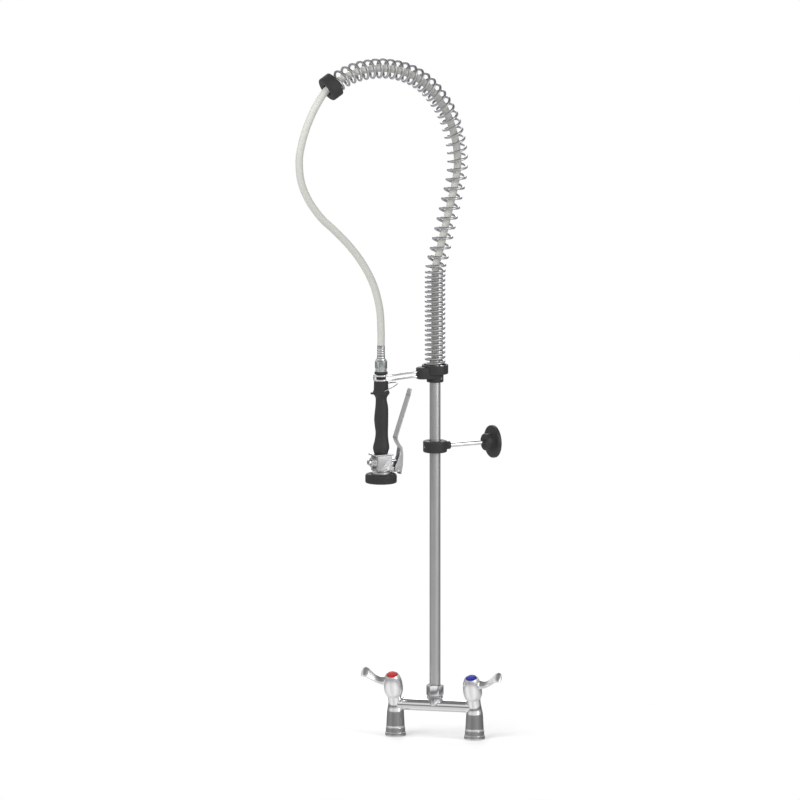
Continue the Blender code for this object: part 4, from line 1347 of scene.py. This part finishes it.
def drill_tree() -> tuple[bpy.types.NodeTree, dict]:
    """Builds the tree that drills two rings of jets through a flat plate about the gun's axis.

    Returns:
        The tree, and each input's socket identifier by name.
    """
    tree, found = geometry_tree("drilled_jets", (
        ("Inner Ring", "NodeSocketFloat", 0.006), ("Inner Count", "NodeSocketInt", 6),
        ("Outer Ring", "NodeSocketFloat", 0.013), ("Outer Count", "NodeSocketInt", 14),
        ("Jet Radius", "NodeSocketFloat", 0.001), ("Depth", "NodeSocketFloat", 0.02),
        ("Centre", "NodeSocketVector", (0, 0, 0)), ("Material", "NodeSocketMaterial", None)))
    links, given = tree.links, tree.nodes["in"].outputs
    drill = node_of(tree, "GeometryNodeMeshCylinder")
    drill.inputs["Vertices"].default_value = 16
    links.new(given["Jet Radius"], drill.inputs["Radius"])
    links.new(given["Depth"], drill.inputs["Depth"])
    cut = node_of(tree, "GeometryNodeMeshBoolean", operation="DIFFERENCE", solver="EXACT")
    links.new(given["Geometry"], cut.inputs["Mesh 1"])
    for ring, count in (("Inner Ring", "Inner Count"), ("Outer Ring", "Outer Count")):
        circle = node_of(tree, "GeometryNodeMeshCircle")
        links.new(given[count], circle.inputs["Vertices"])
        links.new(given[ring], circle.inputs["Radius"])
        shift = node_of(tree, "GeometryNodeTransform")
        links.new(circle.outputs["Mesh"], shift.inputs["Geometry"])
        links.new(given["Centre"], shift.inputs["Translation"])
        placed = node_of(tree, "GeometryNodeInstanceOnPoints")
        links.new(shift.outputs["Geometry"], placed.inputs["Points"])
        links.new(drill.outputs["Mesh"], placed.inputs["Instance"])
        real = node_of(tree, "GeometryNodeRealizeInstances")
        links.new(placed.outputs["Instances"], real.inputs["Geometry"])
        links.new(real.outputs["Geometry"], cut.inputs["Mesh 2"])
    finish_tree(tree, cut.outputs["Mesh"])
    return tree, found


@dataclass
class Gun:
    """The spray gun that hangs in the hook, from its ferrule down to its spray face."""

    reach: float = 112.0
    core_d: float = 13.0
    ring_top: float = 686.45
    spool_d: float = 17.8
    neck_ring_d: float = 24.6
    grip_top: float = 669.5
    grip_bottom: float = 535.0
    bumper_d: float = 58.0
    bumper_bottom: float = 481.0
    bumper_top: float = 498.0
    plate_d: float = 50.0
    plunger_d: float = 6.0
    plunger_z: float = 520.0
    pivot_z: float = 504.0
    pivot_reach: float = 31.0
    lever_w: float = 14.0
    lever_t: float = 3.2
    lock_z: float = 653.0
    lock_wire: float = 1.1
    grip_shape: list[tuple[float, float, float]] = field(default_factory=lambda: [
        (669.5, 12.4, 12.4), (668.6, 13.0, 13.0), (660, 13.3, 13.2), (652.5, 13.6, 13.8),
        (650.3, 14.6, 14.8),
        (649, 15.4, 15.6), (647.5, 15.6, 15.8), (646, 15.4, 15.4), (643.5, 13.0, 13.6),
        (639, 10.4, 11.0),
        (634, 9.9, 10.7), (628, 10.0, 11.9), (620, 10.5, 13.2), (609, 11.8, 13.4),
        (598, 12.6, 13.3),
        (587, 11.6, 13.2), (576, 10.1, 13.0), (568, 10.3, 13.1), (558, 12.0, 13.9),
        (549, 14.4, 15.1),
        (544, 14.7, 15.1), (540, 14.0, 13.6), (536.4, 13.0, 12.6), (535.3, 12.4, 12.0)])

    @property
    def pivot(self) -> Vector:
        """The squeeze lever's pivot."""
        return self.at(self.pivot_reach, self.pivot_z)

    def at(self, out: float, up: float) -> Vector:
        """Returns a point of the gun's plane, at a distance outward from the gun's axis."""
        return in_plane(out - self.reach, up)

    def ferrule(self) -> None:
        """Builds the crimped ferrule on the hose's end."""
        nut_top = self.ring_top + 25
        end = HOSE[-1][1] - GAP
        ribs = [(7.6, nut_top + GAP), (7.6, nut_top + 2), (7.2, nut_top + 3)]
        low = nut_top + 4
        for k in range(4):
            ribs += [(7.2, low + 4.4 * k), (7.2, low + 4.4 * k + 2.4), (6.9, low + 4.4 * k + 2.9),
                     (6.9, low + 4.4 * k + 3.9)]
        outline = rounded([(5, nut_top + GAP), *ribs, (6.9, end), (5, end)], 0.5, 3)
        obj = object_of("hose_ferrule_shell", lathe_mesh(outline, GUN, segments=64))
        dress(obj, CHROME, Body.HOSE_END, ["hose_ferrule"])

    def nut(self) -> None:
        """Builds the swivel nut: a hexagon below a round shoulder that narrows upwards."""
        low, top = self.ring_top + GAP, self.ring_top + 25
        bore = self.core_d / 2 + GAP
        outline = rounded([(bore + 2, low), (10.4, low), (10.4, low + 5), (11.4, low + 6),
                           (11.4, top - 5),
                           (9.4, top - 3), (8.6, top), (5, top), (5, low + 9), (bore + 2, low + 9)],
                           0.7, 3)
        obj = object_of("swivel_nut_shell", lathe_mesh(outline, GUN, segments=96))
        band = object_of("band", lathe_mesh(tube(14, 2.3, low + 6.4, top - 5.4), GUN, segments=96))
        carve(band, lathe_mesh(rod(10.9 / math.cos(math.pi / 8), low + 6.4, top - 5.4), GUN,
                               segments=8))
        carve(obj, taken_back(band))
        soften(obj, 0.25, 2, 20)
        dress(obj, NUT_PLATE, Body.HOSE_END, ["swivel_nut"])

    def neck(self) -> None:
        """Builds the two black rings that the hook's wires sit between."""
        bore = self.core_d / 2 + GAP
        upper = tube(self.neck_ring_d / 2, bore, self.ring_top - 4, self.ring_top, 1.0)
        lower = tube(self.spool_d / 2, bore, self.grip_top + GAP, self.ring_top - 4 - GAP, 0.4)
        for name, outline in (("neck_ring_upper", upper), ("neck_ring_lower", lower)):
            obj = object_of(f"{name}_shell", lathe_mesh(outline, GUN, segments=96))
            dress(obj, BLACK, Body.GUN, [name])

    def grip(self) -> None:
        """Builds the grip, hollowed for the fingers on the side away from the lever."""
        shape = smooth_path([Vector(p) for p in self.grip_shape], 150)
        rings = []
        for z, back, front in shape:
            centre = self.at((front - back) / 2, z)
            half = (front + back) / 2
            side = min(half, 0.35 * half + 0.65 * max(back, front))
            rings.append([centre + OUT * (half * math.cos(a)) + ACROSS * (side * math.sin(a))
                          for a in (n * math.tau / 72 for n in range(72))])
        obj = object_of("grip_moulding", loft_mesh(rings))
        carve(obj, box_mesh((8, 7.5, 3.4), self.at(-16.4, 647.5), 1.0), "UNION")
        bore = self.core_d / 2 + GAP
        carve(obj, rod_mesh(bore, GUN + UP * 530, GUN + UP * 672))
        for side in (-1, 1):
            carve(obj, rod_mesh(self.lock_wire + GAP, GUN + UP * self.lock_z + ACROSS * side * 11,
                                GUN + UP * self.lock_z + ACROSS * side * 17))
        dress(obj, GRIP_BLACK, Body.GUN, ["grip"])

    def lock_ring(self) -> None:
        """Builds the wire loop that holds the lever squeezed."""
        loop = [(0, 12, 0), (0, 15.5, 0), (3, 17, 1.4), (12, 17, 5), (22, 14.5, 8.5), (29, 8, 10.5),
                (31.5, 0, 11.2)]
        loop += [(a, -b, c) for a, b, c in reversed(loop[:-1])]
        route = smooth_path([self.at(a, self.lock_z + c) + ACROSS * b for a, b, c in loop], 120)
        obj = object_of("lock_ring_wire", tube_along(route, self.lock_wire, 16))
        dress(obj, SPRING_WIRE, Body.LOCK, ["lock_ring"])

    def valve(self) -> None:
        """Builds the cast valve body: top plate, block, boss, ears, spout and skirt."""
        top, low, neck_low = self.grip_bottom, 503.0, self.bumper_top - 3
        tall = top - 3 - low
        obj = object_of("valve_casting", box_mesh((30, 27, tall), self.at(1, low + tall / 2), 1.4))
        carve(obj, box_mesh((37, 30, 3), self.at(0, top - 1.7), 0.9), "UNION")
        carve(obj, box_mesh((25, 29.5, 2.6), self.at(3, low + 1.9), 0.9), "UNION")
        boss = lathe_mesh(rounded([(0, 10), (12.2, 10), (11.4, 16), (9.4, 19.4), (9.4, 20.2),
                                   (0, 20.2)], 1.2),
                          self.at(0, self.plunger_z - 0.5), -OUT, 64)
        carve(obj, boss, "UNION")
        spout = rounded([(0, neck_low - 2), (17, neck_low - 2), (17, low - 2.5), (14.4, low + 0.5),
                         (14.4, low + 6), (0, low + 6)], 1.2)
        carve(obj, lathe_mesh(spout, GUN, segments=96), "UNION")
        skirt_low = self.bumper_bottom + 5
        carve(obj, rod_mesh(self.plate_d / 2, GUN + UP * skirt_low, GUN + UP * (neck_low - 0.5),
                            0.5), "UNION")
        carve(obj, box_mesh((22, 8, 10), self.pivot + OUT * -7, 1.4), "UNION")
        bore = self.core_d / 2 + GAP
        for radius, out_from, out_to in ((7, -22, 6), (self.plunger_d / 2 + GAP, -20, 25)):
            carve(obj, rod_mesh(radius, self.at(out_from, self.plunger_z),
                                self.at(out_to, self.plunger_z)))
        carve(obj, rod_mesh(bore, GUN + UP * 527.7, GUN + UP * (top + 5)))
        carve(obj, rod_mesh(5, GUN + UP * 490, GUN + UP * 530))
        carve(obj, rod_mesh(self.plate_d / 2 - 5, GUN + UP * (skirt_low - 1), GUN + UP * 490.5))
        carve(obj, rod_mesh(2.3, self.pivot - ACROSS * 8, self.pivot + ACROSS * 8))
        soften(obj, 0.25, 2, 40)
        dress(obj, CAST, Body.GUN, ["valve_body"])

    def rear_plug(self) -> None:
        """Builds the turned plug behind the valve."""
        outline = rounded([(0, -27), (4.6, -27), (5.2, -25.6), (5.2, -22.4), (3.9, -21.4),
                           (7.6, -21), (8, -20.4),
                           (8, -14.4), (6.7, -14.4), (6.7, -12), (0, -12)], 0.7, 4)
        obj = object_of("rear_plug_shell", lathe_mesh(outline, self.at(0, self.plunger_z), OUT))
        dress(obj, CHROME, Body.GUN, ["rear_plug"])

    def plunger(self) -> None:
        """Builds the valve's push rod."""
        outline = rod(self.plunger_d / 2, 1, 37, 0.9)
        obj = object_of("plunger_shell", lathe_mesh(outline, self.at(0, self.plunger_z), OUT, 48))
        dress(obj, STEEL, Body.PLUNGER, ["plunger"])

    def lever(self) -> None:
        """Builds the bent strip that the fingers squeeze, with its cheeks at the pivot."""
        corners = [(60.8, 654.3), (56.9, 641), (28.9, 562.4), (32.3, 553.5), (39.8, 543),
                   (41.3, 530),
                   (40.4, 511), (38, 500)]
        first, last = corners[0], corners[-1]
        bends = rounded([(0, 0), *corners, (0, 0)], 6.0, 6)[1:-1]
        route = [self.at(*p) for p in [first, *bends, last][1:-1]]
        route = smooth_path(route, 90)
        sections = []
        for k, centre in enumerate(route):
            run = (route[min(k + 1, len(route) - 1)] - route[max(k - 1, 0)]).normalized()
            flat = run.cross(ACROSS)
            share = min(k / 7, 1)
            width = self.lever_w / 2 * (0.45 + 0.55 * math.sqrt(1 - (1 - share) ** 2))
            edge = self.lever_t / 2
            ring = []
            for across, up in ((1, 1), (-1, 1), (-1, -1), (1, -1)):
                for step in range(5):
                    a = step / 4 * math.pi / 2
                    turn = math.cos(a), math.sin(a)
                    if across * up < 0:
                        turn = turn[::-1]
                    ring.append(centre + ACROSS * (across * (width - 1.2 + 1.2 * turn[0]))
                                + flat * (up * (edge - 1.2 + 1.2 * turn[1])))
            sections.append(ring)
        obj = object_of("squeeze_lever_strip", loft_mesh(sections))
        outline = [(40.8, 546), (37.2, 545), (34.5, 528), (26.6, 510), (25.4, 505), (27, 500.6),
                   (33, 499.4),
                   (38, 499.6), (40.6, 510), (41.8, 530)]
        for side in (-1, 1):
            bm = bmesh.new()
            near = [bm.verts.new(self.at(*p) + ACROSS * (side * 4.6)) for p in outline]
            far = [bm.verts.new(self.at(*p) + ACROSS * (side * 6.9)) for p in outline]
            bm.faces.new(near)
            bm.faces.new(list(reversed(far)))
            for k in range(len(outline)):
                j = (k + 1) % len(outline)
                bm.faces.new((near[j], near[k], far[k], far[j]))
            bmesh.ops.recalc_face_normals(bm, faces=bm.faces)
            carve(obj, bm, "UNION")
        carve(obj, rod_mesh(2.3, self.pivot - ACROSS * 8, self.pivot + ACROSS * 8))
        soften(obj, 0.3, 2, 40)
        dress(obj, CAST, Body.TRIGGER, ["squeeze_lever"])
        pin = object_of("lever_pin_shell", lathe_mesh(rod(2, -7.6, 7.6, 0.5), self.pivot, ACROSS,
                                                      32))
        dress(pin, STEEL, Body.GUN, ["lever_pin"])

    def spray_face(self) -> None:
        """Builds the drilled spray plate and the rubber bumper round it."""
        face = self.bumper_bottom + 2.2
        skirt_low = self.bumper_bottom + 5
        plate = object_of("spray_plate_shell", lathe_mesh(rod(self.plate_d / 2, face,
                                                              skirt_low - GAP, 0.6), GUN,
                                                          segments=96))
        tree, found = drill_tree()
        plate = grow(plate, tree, found, {
            "Inner Ring": 6 * MM, "Inner Count": 7, "Outer Ring": 13 * MM, "Outer Count": 16,
            "Jet Radius": 1 * MM, "Depth": 12 * MM, "Centre": (GUN + UP * face) * MM,
            "Material": STEEL.material()})
        dress(plate, STEEL, Body.GUN, ["spray_plate"])
        outer, lip, groove = self.bumper_d / 2, self.plate_d / 2 - 3, self.plate_d / 2 + GAP
        neck_low = self.bumper_top - 3
        outline = rounded([(lip, self.bumper_bottom), (outer, self.bumper_bottom),
                           (outer, self.bumper_top),
                           (17.3, self.bumper_top), (17.3, neck_low), (groove, neck_low),
                           (groove, face - GAP),
                           (lip, face - GAP)], 5.2, 8)
        obj = object_of("bumper_ring", lathe_mesh(outline, GUN, segments=96))
        dress(obj, RUBBER, Body.GUN, ["bumper"])

    def build(self) -> None:
        """Builds every visible piece of the gun."""
        self.ferrule()
        self.nut()
        self.neck()
        self.grip()
        self.lock_ring()
        self.valve()
        self.rear_plug()
        self.plunger()
        self.lever()
        self.spray_face()


# ---------------------------------------------------------------- the rest


HIDDEN_FINISHES = {"cartridge": BRASS, "spindle": BRASS, "lever_screw": STEEL, "seal": SEAL_RUBBER,
                   "bush": BRASS,
                   "seat": STEEL, "nipple": BRASS, "washer": SEAL_RUBBER, "core": BRASS,
                   "set_screw": STEEL,
                   "plate": STEEL, "spring": STEEL, "screw": STEEL, "pin": STEEL}


def dress_kept_nodes(nodes: dict[str, bpy.types.Object]) -> None:
    """Gives each CAD node that still shows a procedural finish.

    Args:
        nodes: The CAD nodes by name.
    """
    for name, node in nodes.items():
        if node.hide_render:
            continue
        finish = next((made for word, made in HIDDEN_FINISHES.items() if word in name), STEEL)
        node.data.materials.clear()
        node.data.materials.append(finish.material())
        LOG.info("%s keeps its shape, in %s", name, finish.name)


@dataclass(frozen=True)
class Softbox:
    """A large soft light aimed at the tap's middle, which glossy pieces mirror if asked to."""

    name: str
    azimuth: float
    elevation: float
    distance: float
    size: tuple[float, float]
    power: float
    mirrored: bool = True

    def build(self, target: Vector) -> None:
        """Places the light.

        Args:
            target: What it aims at, in metres.
        """
        data = bpy.data.lights.new(self.name, "AREA")
        data.shape = "RECTANGLE"
        data.size, data.size_y = self.size
        data.energy = self.power
        turn, rise = math.radians(self.azimuth), math.radians(self.elevation)
        back = Vector((math.sin(turn) * math.cos(rise), -math.cos(turn) * math.cos(rise),
                       math.sin(rise)))
        lamp = bpy.data.objects.new(self.name, data)
        lamp.location = target + back * self.distance
        lamp.visible_glossy = self.mirrored
        lamp.rotation_euler = (-back).to_track_quat("-Z", "Y").to_euler()
        bpy.context.scene.collection.objects.link(lamp)


@dataclass(frozen=True)
class Studio:
    """A pale floor, a soft white room and the camera."""

    azimuth: float = 15.0
    elevation: float = 9.0
    distance: float = 60.0
    lens: float = 1472.0
    aim_right: float = -0.0642
    aim_up: float = 0.618
    floor_radius: float = 40.0
    floor_clear: float = 0.15
    floor_white: float = 0.7

    def camera(self) -> None:
        """Places the camera level with the upper half of the tap."""
        turn, rise = math.radians(self.azimuth), math.radians(self.elevation)
        right = Vector((math.cos(turn), math.sin(turn), 0))
        back = Vector((math.sin(turn) * math.cos(rise), -math.cos(turn) * math.cos(rise),
                       math.sin(rise)))
        above = back.cross(right)
        data = bpy.data.cameras.new("camera")
        data.lens = self.lens
        data.clip_end = 200
        camera = bpy.data.objects.new("camera", data)
        camera.location = right * self.aim_right + above * self.aim_up + back * self.distance
        camera.rotation_mode = "QUATERNION"
        camera.rotation_quaternion = (-back).to_track_quat("-Z", "Y")
        bpy.context.scene.collection.objects.link(camera)
        bpy.context.scene.camera = camera

    def floor(self) -> None:
        """Lays a round pale floor just under the flanges."""
        bm = bmesh.new()
        bmesh.ops.create_circle(bm, cap_ends=True, segments=96, radius=self.floor_radius / MM)
        bmesh.ops.translate(bm, vec=(0, 0, -0.5), verts=bm.verts)
        obj = object_of("floor", bm)
        made = bpy.data.materials.new("pale_floor")
        made.use_nodes = True
        nodes, links = made.node_tree.nodes, made.node_tree.links
        shader = nodes["Principled BSDF"]
        shader.inputs["Roughness"].default_value = 0.9
        coords = nodes.new("ShaderNodeTexCoord")
        noise = nodes.new("ShaderNodeTexNoise")
        noise.inputs["Scale"].default_value = 3
        blend = nodes.new("ShaderNodeMix")
        blend.data_type = "RGBA"
        blend.inputs["A"].default_value = (0.87, 0.87, 0.87, 1)
        blend.inputs["B"].default_value = (0.90, 0.90, 0.90, 1)
        links.new(coords.outputs["Object"], noise.inputs["Vector"])
        links.new(noise.outputs[0], blend.inputs["Factor"])
        links.new(blend.outputs["Result"], shader.inputs["Base Color"])
        reach = nodes.new("ShaderNodeVectorMath")
        reach.operation = "LENGTH"
        links.new(coords.outputs["Object"], reach.inputs[0])
        fade = nodes.new("ShaderNodeMapRange")
        fade.interpolation_type = "SMOOTHSTEP"
        fade.inputs["From Min"].default_value = self.floor_clear
        fade.inputs["From Max"].default_value = self.floor_white
        links.new(reach.outputs["Value"], fade.inputs["Value"])
        white = nodes.new("ShaderNodeEmission")
        mixed = nodes.new("ShaderNodeMixShader")
        links.new(fade.outputs["Result"], mixed.inputs["Fac"])
        links.new(shader.outputs["BSDF"], mixed.inputs[1])
        links.new(white.outputs["Emission"], mixed.inputs[2])
        links.new(mixed.outputs[0], nodes["Material Output"].inputs["Surface"])
        obj.data.materials.append(made)
        obj.visible_glossy = False

    def room(self) -> None:
        """Surrounds the tap with a white room whose grey bands the chrome mirrors."""
        world = bpy.data.worlds.new("studio")
        world.use_nodes = True
        bpy.context.scene.world = world
        tree = world.node_tree
        nodes, links = tree.nodes, tree.links
        nodes.clear()
        coords = nodes.new("ShaderNodeTexCoord")
        split = nodes.new("ShaderNodeSeparateXYZ")
        links.new(coords.outputs["Generated"], split.inputs[0])
        heading = math_node(tree, "ARCTAN2", split.outputs["Y"], split.outputs["X"])
        round_share = math_node(tree, "ADD", math_node(tree, "DIVIDE", heading, math.tau), 0.5)
        rise_share = math_node(tree, "MULTIPLY", math_node(tree, "ADD", split.outputs["Z"], 1.0),
                               0.5)
        bands = [self.levels(tree, share, stops)
                 for share, stops in ((round_share, ROUND_LEVELS), (rise_share, RISE_LEVELS))]
        level = math_node(tree, "MULTIPLY", *bands)
        seen = nodes.new("ShaderNodeLightPath")
        room = nodes.new("ShaderNodeBackground")
        backdrop = nodes.new("ShaderNodeBackground")
        backdrop.inputs["Color"].default_value = (1, 1, 1, 1)
        backdrop.inputs["Strength"].default_value = 1.0
        room.inputs["Strength"].default_value = 1.0
        links.new(level, room.inputs["Color"])
        choice = nodes.new("ShaderNodeMixShader")
        links.new(seen.outputs["Is Camera Ray"], choice.inputs["Fac"])
        links.new(room.outputs[0], choice.inputs[1])
        links.new(backdrop.outputs[0], choice.inputs[2])
        out = nodes.new("ShaderNodeOutputWorld")
        links.new(choice.outputs[0], out.inputs["Surface"])

    @staticmethod
    def levels(tree: bpy.types.NodeTree, share: bpy.types.NodeSocket,
               stops: Sequence[tuple[float, float]]) -> bpy.types.NodeSocket:
        """Adds a smooth row of grey levels.

        Args:
            tree: The world's tree.
            share: What picks the level, from 0 to 1.
            stops: Pairs of a place and its level.

        Returns:
            The ramp's colour socket.
        """
        node = tree.nodes.new("ShaderNodeValToRGB")
        tree.links.new(share, node.inputs["Fac"])
        ramp = node.color_ramp
        ramp.interpolation = "EASE"
        for element, (place, level) in zip(ramp.elements, (stops[0], stops[-1])):
            element.position = place
            element.color = (level, level, level, 1)
        for place, level in stops[1:-1]:
            ramp.elements.new(place).color = (level, level, level, 1)
        return node.outputs["Color"]

    def build(self) -> None:
        """Builds the floor, room, lights and camera."""
        bpy.context.scene.view_settings.view_transform = "Standard"
        self.camera()
        self.floor()
        self.room()
        for light in LIGHTS:
            light.build(Vector((0, 0, 0.6)))


ROUND_LEVELS = [(0.0, 0.95), (0.1, 1.15), (0.2, 0.85), (0.29, 1.0), (0.38, 1.2), (0.48, 0.9),
                (0.6, 0.65),
                (0.75, 0.6), (0.88, 0.8), (1.0, 0.95)]
RISE_LEVELS = [(0.0, 0.9), (0.3, 0.95), (0.37, 0.5), (0.42, 0.25), (0.50, 0.25), (0.58, 0.8),
               (0.68, 1.15),
               (0.77, 0.95), (0.84, 0.28), (1.0, 0.2)]
LIGHTS = (Softbox("key", -25, 35, 3.2, (1.6, 2.2), 60, False),
          Softbox("fill", 70, 20, 3.4, (1.2, 2.4), 30),
          Softbox("top", 0, 85, 3.0, (2.2, 2.2), 40, False),
          Softbox("rim", 200, 30, 3.4, (1.4, 2.2), 30))


def main() -> None:
    """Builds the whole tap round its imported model."""
    logging.basicConfig(level=logging.INFO, format="%(name)s: %(message)s")
    Studio().build()
    assemblies: list[tuple[str, Callable[[], None]]] = [
        ("head", Head().build),
        ("hot pillar", Pillar(Side.HOT, "hot", RED).build),
        ("cold pillar", Pillar(Side.COLD, "cold", BLUE).build),
        ("bridge", Bridge().build),
        ("wall stay", WallStay().build),
        ("gun", Gun().build)]
    for name, build in assemblies:
        LOG.info("building the %s", name)
        build()
    dress_kept_nodes(frame["nodes"])


if __name__ == "__main__":
    main()
